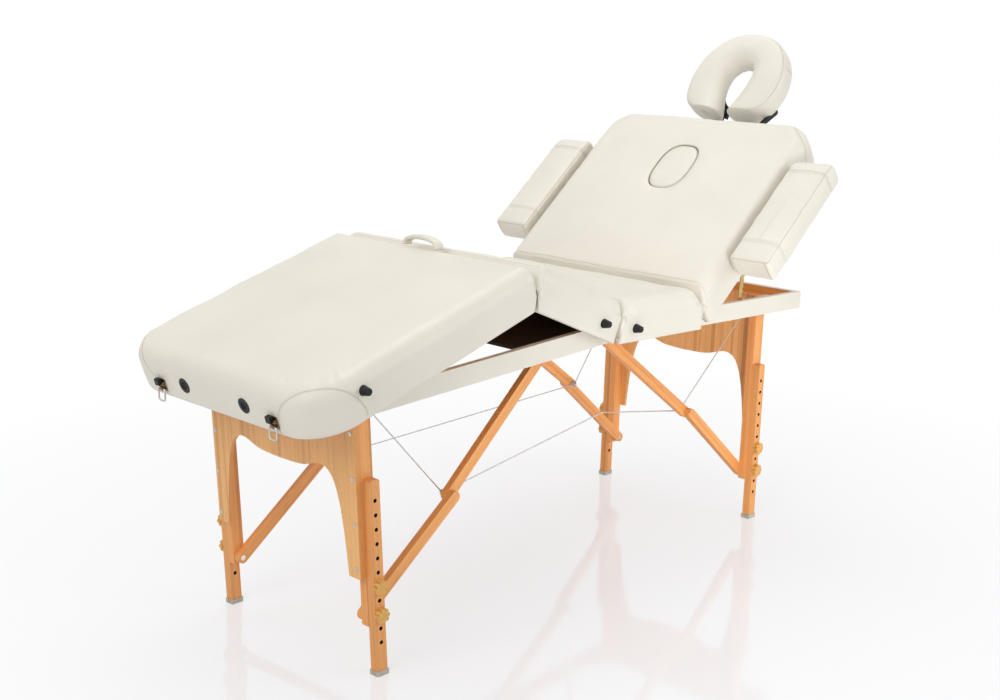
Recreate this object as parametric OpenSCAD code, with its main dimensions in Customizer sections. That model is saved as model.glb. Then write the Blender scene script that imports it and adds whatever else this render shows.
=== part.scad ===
// Portable folding physiotherapy table: four padded sections on a two-half beech frame.
// Millimetres. X runs along the table (positive toward the head end), Y across, Z up.
// Local frames: half() has u outward from the fold line, w up; leg() hangs below its
// pivot; pad() has x along the section from its own hinge, z up from the deck level.

/* [Frame] */
// Height of the centre fold axis above the floor
hinge_z = 579; // [500:1:700]
// Where the fold axis lies along X, measured from the middle of the whole outline
fold_x = -53.9; // [-200:0.5:200]
// Slope of each half frame, centre high
camber = 2.3; // [0:0.1:4]
// Length of the foot half frame
foot_length = 755; // [600:1:900]
// Length of the head half frame
head_length = 770; // [600:1:900]
// Half the width over the side rails
rail_half_width = 281; // [220:1:360]
// Thickness of a side rail
rail_thick = 14; // [10:0.5:24]
// Height of the rails
rail_height = 43; // [30:1:60]
// Drop of the fold axis below the rails
hinge_drop = 4; // [4:0.5:10]
// Thickness of the end rails and centre rails
cross_thick = 18; // [12:0.5:25]
// Half the gap between the two centre rails at the fold axis
fold_gap = 0.5; // [0.2:0.1:3]
// Thickness of the black deck board
deck_thick = 6; // [4:0.5:9]
// How far the deck board reaches from the fold line
deck_reach = 285; // [200:1:400]
// Half length of a leg pivot block along the rail
block_half = 25; // [18:1:40]
// Gap over a leg pivot block's top
block_top_gap = 6; // [2:0.5:10]

/* [Legs] */
// Distance from the fold line to the foot leg pivot
foot_pivot_u = 674; // [500:1:800]
// Distance from the fold line to the head leg pivot
head_pivot_u = 655.7; // [500:1:800]
// Height of the leg pivots above the rail bottom
pivot_rise = 22; // [15:0.5:30]
// Rake of the foot legs against their half frame
foot_rake = 0.45; // [-3:0.05:3]
// Rake of the head legs against their half frame
head_rake = -1; // [-3:0.05:3]
// Room for the knobs between the lower legs and the rails
knob_room = 12.4; // [10:0.1:20]
// Thickness of the leg bars across the table
leg_thick = 20; // [15:0.5:30]
// Width of the upper leg along the table
upper_width = 28; // [20:0.5:40]
// Width of the lower leg along the table
lower_width = 26; // [18:0.5:38]
// Sliding gap between upper and lower leg
slide_gap = 0.1; // [0.05:0.01:0.5]
// Distance from the pivot down to the end of the upper leg
upper_end = 475; // [350:1:520]
// Distance from the pivot down to the top of the lower leg
lower_top = 164; // [100:1:250]
// Height of the lowest leg hole above the floor
hole_low = 72; // [50:1:120]
// Pitch of the leg holes
hole_pitch = 30; // [20:1:40]
// Number of leg holes
hole_count = 11; // [5:1:12]
// Which hole the lower knob sits in, counted from the bottom
low_step = 2; // [0:1:5]
// Which hole the upper knob sits in, counted from the bottom
high_step = 4; // [1:1:8]
// Radius of a leg hole
hole_r = 4.25; // [3:0.05:6]
// Radius of the knob and pivot bolts
bolt_r = 4; // [2.5:0.05:5]
// Running clearance of bolts in their bores
run_fit = 0.05; // [0.02:0.01:0.1]
// Wood left under the end of a knob bolt
bolt_left = 2; // [1:0.5:5]
// Radius of a star knob
knob_r = 16; // [12:0.5:25]
// Height of a star knob
knob_height = 11.2; // [8:0.1:15]
// Radius of one lobe of a star knob
lobe_r = 4.6; // [3:0.1:7]
// Height of the rubber feet
rubber_height = 11; // [8:1:60]
// Wall of the rubber feet
rubber_wall = 1.8; // [1:0.1:4]
// Rubber left under the wooden leg
rubber_sole = 5; // [3:0.5:12]

/* [End panels] */
// Thickness of the spacer strips behind the foot panel
foot_panel_out = 6.5; // [0:0.5:12]
// Thickness of an arched end panel
panel_thick = 8; // [5:0.5:15]
// Height of a panel's top edge above the leg pivot
panel_top = 10; // [0:1:20]
// Distance from the pivot down to the bottom of a panel
panel_bottom = 370; // [250:1:440]
// Half width of the opening's corner points, as shares of the panel half width
arch_y_shares = [0.853, 0.838, 0.815, 0.785, 0.752, 0.722, 0.688, 0.648, 0.6, 0.55,
    0.5, 0.45, 0.4, 0.34, 0.28, 0.2, 0.1, 0];
// Height of the opening's corner points above the panel bottom, as shares of its height
arch_z_shares = [0, 0.11, 0.24, 0.36, 0.44, 0.49, 0.525, 0.55, 0.565, 0.57,
    0.567, 0.559, 0.548, 0.537, 0.53, 0.526, 0.524, 0.523];
// Radius of a panel screw head
screw_r = 4.5; // [3:0.1:7]
// Height of a panel screw head
screw_height = 1.2; // [0.8:0.1:3]
// Distances of the panel screws below the pivot, as shares of the panel bottom distance
screw_shares = [0.19, 0.44, 0.69, 0.945];

/* [Braces] */
// Width of a wooden brace bar
brace_width = 25; // [16:0.5:35]
// Thickness of a wooden brace bar
brace_thick = 16; // [10:0.5:22]
// Gap between brace and leg, and between the two braces
brace_gap = 0.3; // [0.2:0.05:1]
// Distance from the leg pivot down to the brace bolt
brace_low = 460; // [350:1:520]
// Foot brace knee, distance from the fold line
foot_knee_u = 418.902; // [300:0.5:520]
// Foot brace knee, drop below the fold axis
foot_knee_drop = 257.389; // [150:0.5:350]
// Foot brace anchor, distance from the fold line
foot_anchor_u = 78; // [40:1:200]
// Foot brace anchor, height above the fold axis
foot_anchor_w = 26; // [15:0.5:35]
// Head brace knee, distance from the fold line
head_knee_u = 423.001; // [300:0.5:520]
// Head brace knee, drop below the fold axis
head_knee_drop = 240.267; // [150:0.5:350]
// Head brace anchor, distance from the fold line
head_anchor_u = 33; // [30:1:150]
// Head brace anchor, height above the fold axis
head_anchor_w = 25; // [15:0.5:35]
// Radius of the countersunk brace bolts
brace_bolt_r = 3; // [2:0.1:4]
// Radius of a brace bolt head
brace_head_r = 6; // [4:0.5:9]
// Thickness of the steel ears and leaves
ear_thick = 2.7; // [1.5:0.1:5]
// Half width of the ears along the table
ear_half = 11; // [8:0.5:20]
// Width of the ear flanges
flange_width = 18; // [10:1:40]
// Radius of the wire rope
rope_r = 1.3; // [0.8:0.1:3]
// Gap between the ends of two ropes in one eye
rope_gap = 0.4; // [0.1:0.1:2]
// Radius of the cable eye
eye_r = 6; // [4:0.5:10]
// Radius of the wire of the cable eye
eye_wire = 1.8; // [1:0.1:3]
// Height of the kink in the near long cable above the straight line
rope_kink = 62; // [0:1:90]
// Place of the kink along the near long cable
rope_kink_share = 0.63; // [0.3:0.01:0.8]

/* [Padding] */
// Half width of the pads
pad_half = 311; // [240:1:380]
// Length of the leg section
leg_pad = 603; // [400:1:700]
// Length of the thigh section
thigh_pad = 295; // [200:1:400]
// Length of the seat section
seat_pad = 305; // [200:1:400]
// Length of the back section
back_pad = 588; // [400:1:700]
// Rise of the thigh section against the frame
thigh_rise = 25.4; // [0:0.1:35]
// Fall of the leg section against the frame
leg_fall = 14.5; // [0:0.1:30]
// Tilt of the back section against the frame
back_rise = 41.8; // [0:0.1:60]
// Greatest tilt of the back section against the frame
back_rise_max = 60; // [45:1:75]
// Clearance of the movable sections over the rails
deck_gap = 0.2; // [0.1:0.05:1]
// Thickness of the section boards
board_thick = 9; // [6:0.5:15]
// Height of the pads above the deck level
foam_height = 57; // [30:1:70]
// Height of the side skirts
skirt_drop = 43; // [20:1:60]
// Thickness of the skirts with their cover
skirt_thick = 17.5; // [8:0.5:25]
// Gap at the hinge ends of the pads
pad_end_gap = 1; // [0.5:0.1:3]
// Setback of the boards from their hinge
board_setback = 6; // [5:0.5:12]
// Plan radius of the foot corners
foot_corner = 95; // [30:1:150]
// Plan radius of the head corners
head_corner = 70; // [30:1:150]
// Plan radius of the hinge end corners
hinge_corner = 8; // [3:0.5:20]
// Radius of the rounded top edge
edge_round = 34; // [10:1:40]
// Crown of the pads
crown = 2.5; // [0:0.5:10]
// Distance of the face opening along the back section
face_place = 395; // [250:1:480]
// Length of the face opening
face_length = 160; // [100:1:220]
// Width of the face opening
face_width = 115; // [70:1:140]
// Gap around the face plug
plug_gap = 1; // [0.5:0.1:3]
// Place across the table of the padded handle
handle_y = 18; // [-80:1:80]
// Half span of the padded handle
handle_span = 52; // [30:1:80]
// Thickness of the padded handle
handle_thick = 9; // [5:0.5:15]
// Width of the padded handle
handle_width = 26; // [15:1:40]
// Gap around the handle's ends in the cushions
handle_gap = 0.4; // [0.1:0.1:2]
// Height of the handle's sides
handle_rise = 6; // [2:1:40]

/* [Section hinges] */
// Place of the section hinges across the table
hinge_y = 120; // [60:1:220]
// Half length of a section hinge
hinge_half = 25; // [15:1:40]
// Radius of a hinge knuckle
knuckle_r = 3.5; // [3:0.1:5]
// Radius of a hinge pin
pin_r = 1.5; // [1:0.1:2.5]
// Reach of a hinge leaf
leaf_reach = 30; // [20:1:50]
// Thickness of a hinge leaf
leaf_thick = 2; // [1.5:0.1:3]
// Knuckle radius of the centre fold hinges
fold_knuckle = 3.8; // [3:0.1:4]
// Place of the centre fold hinges across the table
fold_hinge_y = 225; // [100:1:250]

/* [Ratchets] */
// Distance of the back ratchet from the back section's hinge
back_ratchet_x = 310; // [200:1:450]
// Distance of the leg ratchet from the knee
leg_ratchet_x = 80; // [50:1:200]
// Length of a ratchet arm
ratchet_length = 216; // [150:1:260]
// Half height of a ratchet arm
ratchet_half = 8; // [5:0.5:12]
// Thickness of a ratchet arm
ratchet_thick = 2.5; // [1.5:0.1:4]
// Turn of the back ratchet arm from its folded place
back_ratchet_turn = 42.6; // [0:0.1:90]
// Turn of the leg ratchet arm from its folded place
leg_ratchet_turn = 16.2; // [0:0.1:60]
// Drop of the ratchet pivots below the boards
ratchet_drop = 11; // [8:0.5:16]
// Number of notches in a ratchet arm
notch_count = 6; // [3:1:8]
// Pitch of the notches
notch_pitch = 14; // [8:0.5:20]
// Place of the ratchet plates along the rails
ratchet_plate_u = 522; // [400:1:600]
// Half length of the ratchet plates
ratchet_plate_half = 26; // [15:1:40]
// Thickness of the ratchet plates
ratchet_plate_thick = 5; // [3:0.5:8]

/* [End fittings] */
// Half spacing of the two headrest bores
bore_half = 98; // [60:1:150]
// Radius of the headrest posts
post_r = 8; // [5:0.5:12]
// Sliding clearance of the posts
post_fit = 0.08; // [0.03:0.01:0.1]
// Depth of the headrest bores behind the pad face
bore_depth = 62; // [40:1:100]
// Drop of the bores below the deck level
bore_drop = 2; // [0:0.5:15]
// Radius of a grommet's tube
grommet_tube = 11; // [9:0.5:16]
// Radius of a grommet's flange
grommet_r = 16; // [12:0.5:22]
// Thickness of a grommet's flange
grommet_flange = 2; // [1:0.1:4]
// Half width of the wooden end blocks
end_block_half = 130; // [110:1:180]
// Height of the wooden end blocks
end_block_height = 28; // [22:1:36]
// Place of the latches across the table
latch_y = 183; // [120:1:240]
// Half width of a latch plate
latch_half = 14; // [8:0.5:20]
// Height of a latch plate
latch_height = 26; // [15:1:35]
// Thickness of a latch plate
latch_thick = 2; // [1:0.1:4]
// Radius of the pull rings' ends
ring_r = 11; // [6:0.5:18]
// Straight length of the pull rings
ring_length = 14; // [5:0.5:30]
// Wire radius of the pull rings
ring_wire = 1.8; // [1:0.1:3]
// Length of a bumper
bumper_length = 20; // [10:1:30]
// Base radius of a bumper
bumper_r = 11; // [6:0.5:16]
// Tip radius of a bumper
bumper_tip = 7; // [4:0.5:12]
// Distance of the leg section bumper from the foot end of the cushion
leg_bumper_in = 118; // [60:1:300]
// Distance of the thigh section bumper from the fold line
thigh_bumper_x = 63; // [20:1:200]
// Distance of the seat section bumper from the fold line
seat_bumper_x = 45; // [20:1:280]
// Height of the leg section bumper over the deck level
leg_bumper_z = 17; // [-20:1:25]
// Depth of the other two bumpers under the deck level
low_bumper_z = 11; // [0:1:25]

/* [Armrests] */
// Start of the armrests along the back section
arm_start = 126; // [60:1:250]
// Length of the armrests
arm_length = 340; // [200:1:420]
// Width of the armrests
arm_width = 106; // [60:1:140]
// Gap between the armrests and the back cushion
arm_gap = 17; // [5:1:40]
// Thickness of the armrests
arm_thick = 64; // [30:1:80]
// Rounding of the armrests
arm_round = 18; // [6:1:26]
// Radius of the armrest pins
arm_pin_r = 8; // [5:0.5:12]
// Distance of the pins from the armrest ends
arm_pin_inset = 70; // [30:1:120]
// Height of the pins above the board top
arm_pin_rise = 11; // [9:0.5:20]
// Depth of the armrest pin bores inside the pad side
arm_pin_depth = 70; // [40:1:100]
// Half length of the wooden side blocks
side_block_half = 28; // [15:1:40]

/* [Headrest] */
// Distance of the headrest bar beyond the back section's end
bar_place = 18; // [14:1:60]
// Radius of the headrest bar
bar_r = 8; // [5:0.5:12]
// Distance of the headrest ring's middle from the bar
ring_place = 154.4; // [120:0.5:200]
// Height of the bar over the middle plane of the ring
ring_lift = 4; // [-20:0.5:20]
// Tilt of the headrest ring against the back section
ring_tilt = 13.5; // [-20:0.5:40]
// Outer half length of the headrest ring
cradle_long = 134; // [100:1:160]
// Outer half width of the headrest ring
cradle_half = 140; // [100:1:160]
// Half width of the headrest ring's cushion
cradle_tube = 45; // [25:1:50]
// Half thickness of the headrest ring's cushion
cradle_half_thick = 37; // [20:1:45]
// Half gap between the headrest ring's ends
cradle_gap = 18; // [4:1:30]
// Distance of the ring's flat ends from its middle
cradle_flat = 118; // [90:1:130]
// Share of the ring's half turn that its flat end takes
cradle_turn = 0.12; // [0.05:0.01:0.3]
// Inset of the headrest plate from the ring's outline
plate_inset = 30; // [8:1:60]
// Radius of the hole in that plate
plate_hole = 74; // [50:1:90]
// Half width of the slot in that plate
plate_slot = 28; // [20:1:36]
// Thickness of the headrest plate
plate_thick = 8; // [5:0.5:12]
// Radius of a headrest clamp
clamp_r = 14; // [10:0.5:20]
// Width of a headrest clamp
clamp_width = 20; // [10:1:40]
// Place of the clamps across the headrest
clamp_y = 50; // [30:1:80]
// Length of the cam lever
cam_length = 106; // [60:1:130]
// Angle of the closed cam lever below the ring's plane
cam_angle = 27.5; // [10:0.5:60]
// Radius of the cam
cam_r = 9; // [6:0.5:14]

/* [Colours] */
// Cover leather
leather_color = [0.9, 0.87, 0.8];
// Honey coloured beech
wood_color = [0.84, 0.58, 0.32];
// Zinc plated steel
steel_color = [0.75, 0.74, 0.7];
// Black plastic and rubber
black_color = [0.08, 0.08, 0.08];
// Rubber feet
foot_color = [0.78, 0.76, 0.7];

/* [Output] */
// Which node to draw

/* [Hidden] */
arm_inner = pad_half + arm_gap;
leg_bumper_x = leg_pad - leg_bumper_in;
rail_bottom = hinge_drop;
rail_top = rail_bottom + rail_height;
rail_inner = rail_half_width - rail_thick;
pivot_w = rail_bottom + pivot_rise;
leg_outer_y = rail_inner - knob_room;
leg_inner_y = leg_outer_y - leg_thick;
upper_outer_y = leg_inner_y - slide_gap;
upper_inner_y = upper_outer_y - leg_thick;
lower_brace_y = upper_inner_y - brace_gap;
lower_brace_in = lower_brace_y - brace_thick;
upper_brace_y = lower_brace_in - brace_gap;
upper_brace_in = upper_brace_y - brace_thick;
ear_y = upper_brace_in - brace_gap;
ear_in = ear_y - ear_thick;
panel_half = upper_outer_y;
board_half = pad_half - skirt_thick - brace_gap;
recess_half = pad_half - skirt_thick;
sm = slide_gap;
big = 4 * pad_half;
foot_floor = (hinge_z - foot_pivot_u * sin(camber) + pivot_w * cos(camber)) / cos(camber + foot_rake);
head_floor = (hinge_z - head_pivot_u * sin(camber) + pivot_w * cos(camber)) / cos(camber + head_rake);
bevel_bc = thigh_rise / 2 + thigh_rise / 40;
bevel_cd = back_rise_max / 2 + thigh_rise / 60;
bevel_knee = (thigh_rise + leg_fall) / 2 + thigh_rise / 40;
deck = rail_top + deck_gap;
back_tip = back_pad;
plug_r = face_width / 2;
plug_run = face_length / 2 - plug_r;
$fn = 32;

// ---------- places ----------

module foot_half() {
    translate([fold_x, 0, hinge_z]) mirror([1, 0, 0]) rotate([0, camber, 0]) children();
}

module head_half() {
    translate([fold_x, 0, hinge_z]) rotate([0, camber, 0]) children();
}

module foot_leg() {
    foot_half() translate([foot_pivot_u, 0, pivot_w]) rotate([0, foot_rake, 0]) children();
}

module head_leg() {
    head_half() translate([head_pivot_u, 0, pivot_w]) rotate([0, head_rake, 0]) children();
}

module thigh_place() {
    foot_half() translate([0, 0, deck]) rotate([0, -thigh_rise, 0]) children();
}

module leg_place() {
    thigh_place() translate([thigh_pad, 0, 0])
        rotate([0, thigh_rise + leg_fall, 0]) children();
}

module seat_place() {
    head_half() translate([0, 0, rail_top]) children();
}

module back_place() {
    head_half() translate([seat_pad, 0, deck]) rotate([0, -back_rise, 0]) children();
}

module bar_frame() {
    back_place() translate([back_pad + bar_place, 0, -bore_drop]) children();
}

module ring_frame() {
    bar_frame() rotate([0, -ring_tilt, 0]) translate([ring_place, 0, -ring_lift]) children();
}

module both() {
    children();
    mirror([0, 1, 0]) children();
}

// Box from its lower to its upper corner
module span(a, b) {
    translate(a) cube(b - a);
}

// Round bar along Y from y0 to y1
module bar_y(r, y0, y1) {
    translate([0, y0, 0]) rotate([-90, 0, 0]) cylinder(r = r, h = y1 - y0);
}

// Round bar along X from x0 to x1
module bar_x(r, x0, x1) {
    translate([x0, 0, 0]) rotate([0, 90, 0]) cylinder(r = r, h = x1 - x0);
}

// Round rod between two points
module rod(p, q, r) {
    d = q - p;
    l = norm(d);
    translate(p) rotate([0, acos(d[2] / l), atan2(d[1], d[0])]) cylinder(r = r, h = l);
}

// ---------- wooden frame ----------

module side_rails(len) {
    both() difference() {
        span([0, rail_inner, rail_bottom], [len, rail_half_width, rail_top]);
        span([-sm, rail_inner - sm, rail_bottom - sm], [fold_gap, rail_half_width + sm, rail_top + sm]);
    }
}

module cross_rails(len, pivot_u) {
    difference() {
        span([fold_gap, -rail_inner, rail_bottom], [fold_gap + cross_thick, rail_inner, rail_top]);
        children();
    }
    span([len - cross_thick, -rail_inner, rail_bottom], [len, rail_inner, rail_top]);
    both() difference() {
        span([pivot_u - block_half, leg_outer_y - leg_thick + slide_gap, rail_bottom],
            [pivot_u + block_half, rail_inner, rail_top - block_top_gap]);
        translate([pivot_u, 0, pivot_w]) bar_y(bolt_r, leg_inner_y - leg_thick, rail_half_width);
    }
}

module foot_side_rails() {
    color(wood_color) foot_half() side_rails(foot_length);
}

module head_side_rails() {
    color(wood_color) head_half() side_rails(head_length);
}

module foot_cross_rails() {
    color(wood_color) foot_half() cross_rails(foot_length, foot_pivot_u)
        both() {
            span([0, hinge_y - hinge_half, rail_top - leaf_reach],
                [fold_gap + leaf_thick, hinge_y + hinge_half, rail_top + sm]);
            span([0, hinge_y - hinge_half, deck - knuckle_r - pin_r / 3],
                [knuckle_r + pin_r / 3, hinge_y + hinge_half, rail_top + sm]);
        }
}

module head_cross_rails() {
    color(wood_color) head_half() cross_rails(head_length, head_pivot_u)
        translate([0, 0, -big]) cube(sm);
}

module deck_board() {
    color(black_color) foot_half()
        span([fold_gap + cross_thick, -rail_inner, rail_top - deck_thick],
            [deck_reach, rail_inner, rail_top]);
}

// ---------- frame hardware ----------

// Leg pivot bolt with a cable loop at its inner end
module pivot_bolts() {
    both() {
        bar_y(bolt_r, upper_inner_y - brace_gap - ear_thick, rail_inner);
        bar_y(bolt_r * 1.7, upper_inner_y - brace_gap - ear_thick, upper_inner_y - brace_gap);
    }
}

// Ear and flange holding the upper brace's end; top is the level the flange meets
module anchor(u, w, top) {
    both() {
        difference() {
            span([u - ear_half, ear_in, w - ear_half], [u + ear_half, ear_y, top]);
            span([u - big, ear_in - sm, w - ear_half - sm], [u - ear_half, ear_y + sm, top]);
        }
        span([u - ear_half, ear_in - flange_width, top - ear_thick], [u + ear_half, ear_in, top]);
        translate([u, 0, w]) bar_y(bolt_r, ear_y, upper_brace_y - brace_gap);
    }
}

// Fixed or moving part of a centre fold hinge; the first has the pin
module fold_leaf(y0, y1, pin) {
    difference() {
        translate([0, 0, 0]) bar_y(fold_knuckle, y0, y1);
        if (!pin) bar_y(pin_r + run_fit, y0 - sm, y1 + sm);
    }
    difference() {
        span([0, y0, rail_bottom - leaf_thick], [fold_gap + cross_thick, y1, rail_bottom]);
        bar_y(fold_knuckle - pin_r, y0 - sm, y1 + sm);
    }
}

module fold_hinge_fixed() {
    both() {
        fold_leaf(fold_hinge_y - hinge_half, fold_hinge_y - hinge_half / 3, true);
        fold_leaf(fold_hinge_y + hinge_half / 3, fold_hinge_y + hinge_half, true);
        bar_y(pin_r, fold_hinge_y - hinge_half / 3, fold_hinge_y + hinge_half / 3);
    }
}

module fold_hinge_moving() {
    both() fold_leaf(fold_hinge_y - hinge_half / 3 + slide_gap,
        fold_hinge_y + hinge_half / 3 - slide_gap, false);
}

// Plate on the rail's inner face that a ratchet arm bears on
module ratchet_plates() {
    both() {
        span([ratchet_plate_u - ratchet_plate_half, rail_inner - ratchet_plate_thick,
                rail_bottom + leaf_thick],
            [ratchet_plate_u + ratchet_plate_half, rail_inner, rail_top - deck_thick]);
    }
}

// Section hinge: the fixed side has two knuckles and the pin
module knuckle(y0, y1, bored) {
    difference() {
        union() {
            bar_y(knuckle_r, y0, y1);
            span([0, y0, 0], [board_setback, y1, leaf_thick]);
        }
        if (bored) bar_y(pin_r + run_fit, y0 - sm, y1 + sm);
    }
}

module hinge_two() {
    both() {
        knuckle(hinge_y - hinge_half, hinge_y - hinge_half / 3, false);
        knuckle(hinge_y + hinge_half / 3, hinge_y + hinge_half, false);
        bar_y(pin_r, hinge_y - hinge_half / 3, hinge_y + hinge_half / 3);
        span([board_setback, hinge_y - hinge_half, 0], [leaf_reach, hinge_y + hinge_half, leaf_thick]);
    }
}

module hinge_one() {
    both() {
        knuckle(hinge_y - hinge_half / 3 + slide_gap, hinge_y + hinge_half / 3 - slide_gap, true);
        span([board_setback, hinge_y - hinge_half, 0], [leaf_reach, hinge_y + hinge_half, leaf_thick]);
    }
}

// Fixed half of the thigh section's hinge, let into the face of the centre rail
module thigh_hinge_fixed() {
    both() {
        for (y = [hinge_y - hinge_half, hinge_y + hinge_half / 3]) {
            translate([0, 0, deck]) bar_y(knuckle_r, y, y + hinge_half * 2 / 3);
            span([fold_gap, y, rail_top - leaf_reach],
                [fold_gap + leaf_thick, y + hinge_half * 2 / 3, deck]);
        }
        translate([0, 0, deck])
            bar_y(pin_r, hinge_y - hinge_half / 3, hinge_y + hinge_half / 3);
        span([fold_gap, hinge_y - hinge_half, rail_top - leaf_reach],
            [fold_gap + leaf_thick, hinge_y + hinge_half, deck - knuckle_r - pin_r / 3]);
    }
}

module foot_hardware() {
    color(steel_color) foot_half() {
        translate([foot_pivot_u, 0, pivot_w]) pivot_bolts();
        anchor(foot_anchor_u, foot_anchor_w, rail_top - deck_thick);
        fold_hinge_fixed();
        thigh_hinge_fixed();
        ratchet_plates();
    }
}

module head_hardware() {
    color(steel_color) head_half() {
        translate([head_pivot_u, 0, pivot_w]) pivot_bolts();
        anchor(head_anchor_u, head_anchor_w, rail_top);
        fold_hinge_moving();
        ratchet_plates();
    }
}

// ---------- legs ----------

module upper_leg_pair(floor_s) {
    low_s = floor_s - hole_low - low_step * hole_pitch;
    high_s = floor_s - hole_low - high_step * hole_pitch;
    both() difference() {
        union() {
            bar_y(upper_width / 2, upper_inner_y, upper_outer_y);
            span([-upper_width / 2, upper_inner_y, -upper_end], [upper_width / 2, upper_outer_y, 0]);
        }
        bar_y(bolt_r + run_fit, upper_inner_y - sm, upper_outer_y + sm);
        for (s = [low_s, high_s])
            translate([0, 0, -s]) bar_y(bolt_r + run_fit, upper_inner_y + bolt_left, upper_outer_y + sm);
        translate([0, 0, -brace_low])
            bar_y(brace_bolt_r, upper_inner_y - sm, upper_inner_y + leg_thick / 2);
    }
}

module foot_upper_legs() {
    color(wood_color) foot_leg() upper_leg_pair(foot_floor);
}

module head_upper_legs() {
    color(wood_color) head_leg() upper_leg_pair(head_floor);
}

module lower_leg(floor_s) {
    difference() {
        union() {
            span([-lower_width / 2, leg_inner_y, -floor_s + rubber_sole],
                [lower_width / 2, leg_outer_y, -lower_top - lower_width / 4]);
            span([-lower_width / 4, leg_inner_y, -lower_top - lower_width / 4],
                [lower_width / 4, leg_outer_y, -lower_top]);
            for (x = [-lower_width / 4, lower_width / 4])
                translate([x, 0, -lower_top - lower_width / 4])
                    bar_y(lower_width / 4, leg_inner_y, leg_outer_y);
        }
        for (k = [0 : hole_count - 1])
            translate([0, 0, -floor_s + hole_low + k * hole_pitch])
                bar_y(hole_r, leg_inner_y - sm, leg_outer_y + sm);
    }
}

module lower_leg_foot_near() {
    color(wood_color) foot_leg() mirror([0, 1, 0]) lower_leg(foot_floor);
}

module lower_leg_foot_far() {
    color(wood_color) foot_leg() lower_leg(foot_floor);
}

module lower_leg_head_near() {
    color(wood_color) head_leg() mirror([0, 1, 0]) lower_leg(head_floor);
}

module lower_leg_head_far() {
    color(wood_color) head_leg() lower_leg(head_floor);
}

module rubber_foot(floor_s) {
    difference() {
        span([-lower_width / 2 - rubber_wall, leg_inner_y - rubber_wall, -floor_s - rubber_sole],
            [lower_width / 2 + rubber_wall, leg_outer_y + rubber_wall, -floor_s + rubber_height]);
        span([-lower_width / 2, leg_inner_y, -floor_s + rubber_sole],
            [lower_width / 2, leg_outer_y, -floor_s + rubber_height + sm]);
    }
}

module floor_cut() {
    difference() {
        children();
        translate([-big, -big, -2 * big]) cube(2 * big);
    }
}

module rubber_foot_foot_near() {
    color(foot_color) floor_cut() foot_leg() mirror([0, 1, 0]) rubber_foot(foot_floor);
}

module rubber_foot_foot_far() {
    color(foot_color) floor_cut() foot_leg() rubber_foot(foot_floor);
}

module rubber_foot_head_near() {
    color(foot_color) floor_cut() head_leg() mirror([0, 1, 0]) rubber_foot(head_floor);
}

module rubber_foot_head_far() {
    color(foot_color) floor_cut() head_leg() rubber_foot(head_floor);
}

// Star knob on a bolt, along Y outward from the lower leg
module knob(floor_s, step) {
    translate([0, leg_outer_y + slide_gap, -floor_s + hole_low + step * hole_pitch]) {
        rotate([-90, 0, 0]) {
            cylinder(r = knob_r - lobe_r, h = knob_height);
            for (i = [0 : 7]) rotate([0, 0, 45 * i]) translate([knob_r - lobe_r, 0, 0])
                cylinder(r = lobe_r, h = knob_height);
        }
        bar_y(bolt_r, -slide_gap * 2 - 2 * leg_thick + bolt_left + slide_gap, 0);
    }
}

module foot_knobs_upper() {
    color(wood_color) foot_leg() both() knob(foot_floor, high_step);
}

module foot_knobs_lower() {
    color(wood_color) foot_leg() both() knob(foot_floor, low_step);
}

module head_knobs_upper() {
    color(wood_color) head_leg() both() knob(head_floor, high_step);
}

module head_knobs_lower() {
    color(wood_color) head_leg() both() knob(head_floor, low_step);
}

// ---------- arched end panels ----------

module panel_outline() {
    h = panel_bottom + panel_top;
    n = len(arch_y_shares);
    right = [for (i = [0 : n - 1])
        [panel_half * arch_y_shares[i], -panel_bottom + h * arch_z_shares[i]]];
    left = [for (i = [n - 2 : -1 : 0]) [-right[i][0], right[i][1]]];
    polygon(concat([[panel_half, -panel_bottom], [panel_half, panel_top],
        [-panel_half, panel_top], [-panel_half, -panel_bottom]],
        [for (i = [0 : n - 2]) left[n - 2 - i]],
        [for (i = [n - 1 : -1 : 0]) right[i]]));
}

// Panel on the legs' outer faces, on spacer strips as thick as out
module end_panel(out) {
    translate([upper_width / 2 + out, 0, 0]) rotate([90, 0, 90])
        linear_extrude(height = panel_thick) panel_outline();
    if (out > 0) translate([upper_width / 2, 0, 0]) rotate([90, 0, 90])
        linear_extrude(height = out + sm) intersection() {
            panel_outline();
            for (s = [-1, 1]) translate([s * (upper_inner_y + upper_outer_y) / 2, 0])
                square([upper_outer_y - upper_inner_y, 2 * panel_bottom * 2], center = true);
        }
}

module end_panel_foot() {
    color(wood_color) foot_leg() end_panel(foot_panel_out);
}

module end_panel_head() {
    color(wood_color) head_leg() end_panel(0);
}

// Panel screws and countersunk brace bolts of one leg pair
module leg_screws(out) {
    both() {
        for (k = screw_shares)
            translate([out, (upper_inner_y + upper_outer_y) / 2, -panel_bottom * k])
                bar_x(screw_r, upper_width / 2 + panel_thick,
                    upper_width / 2 + panel_thick + screw_height);
        translate([0, 0, -brace_low]) {
            bar_y(brace_bolt_r, lower_brace_in + brace_gap, upper_inner_y + leg_thick / 2);
            bar_y(brace_head_r, lower_brace_in + brace_gap, lower_brace_in + brace_gap + ear_thick);
        }
    }
}

module foot_leg_screws() {
    color(steel_color) foot_leg() leg_screws(foot_panel_out);
}

module head_leg_screws() {
    color(steel_color) head_leg() leg_screws(0);
}

// ---------- folding braces and cables ----------

function leg_point(pu, rake, s) = [pu - s * sin(rake), 0, pivot_w - s * cos(rake)];

foot_low = leg_point(foot_pivot_u, foot_rake, brace_low);
head_low = leg_point(head_pivot_u, head_rake, brace_low);
foot_knee = [foot_knee_u, 0, -foot_knee_drop];
head_knee = [head_knee_u, 0, -head_knee_drop];
foot_anchor = [foot_anchor_u, 0, foot_anchor_w];
head_anchor = [head_anchor_u, 0, head_anchor_w];

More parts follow.
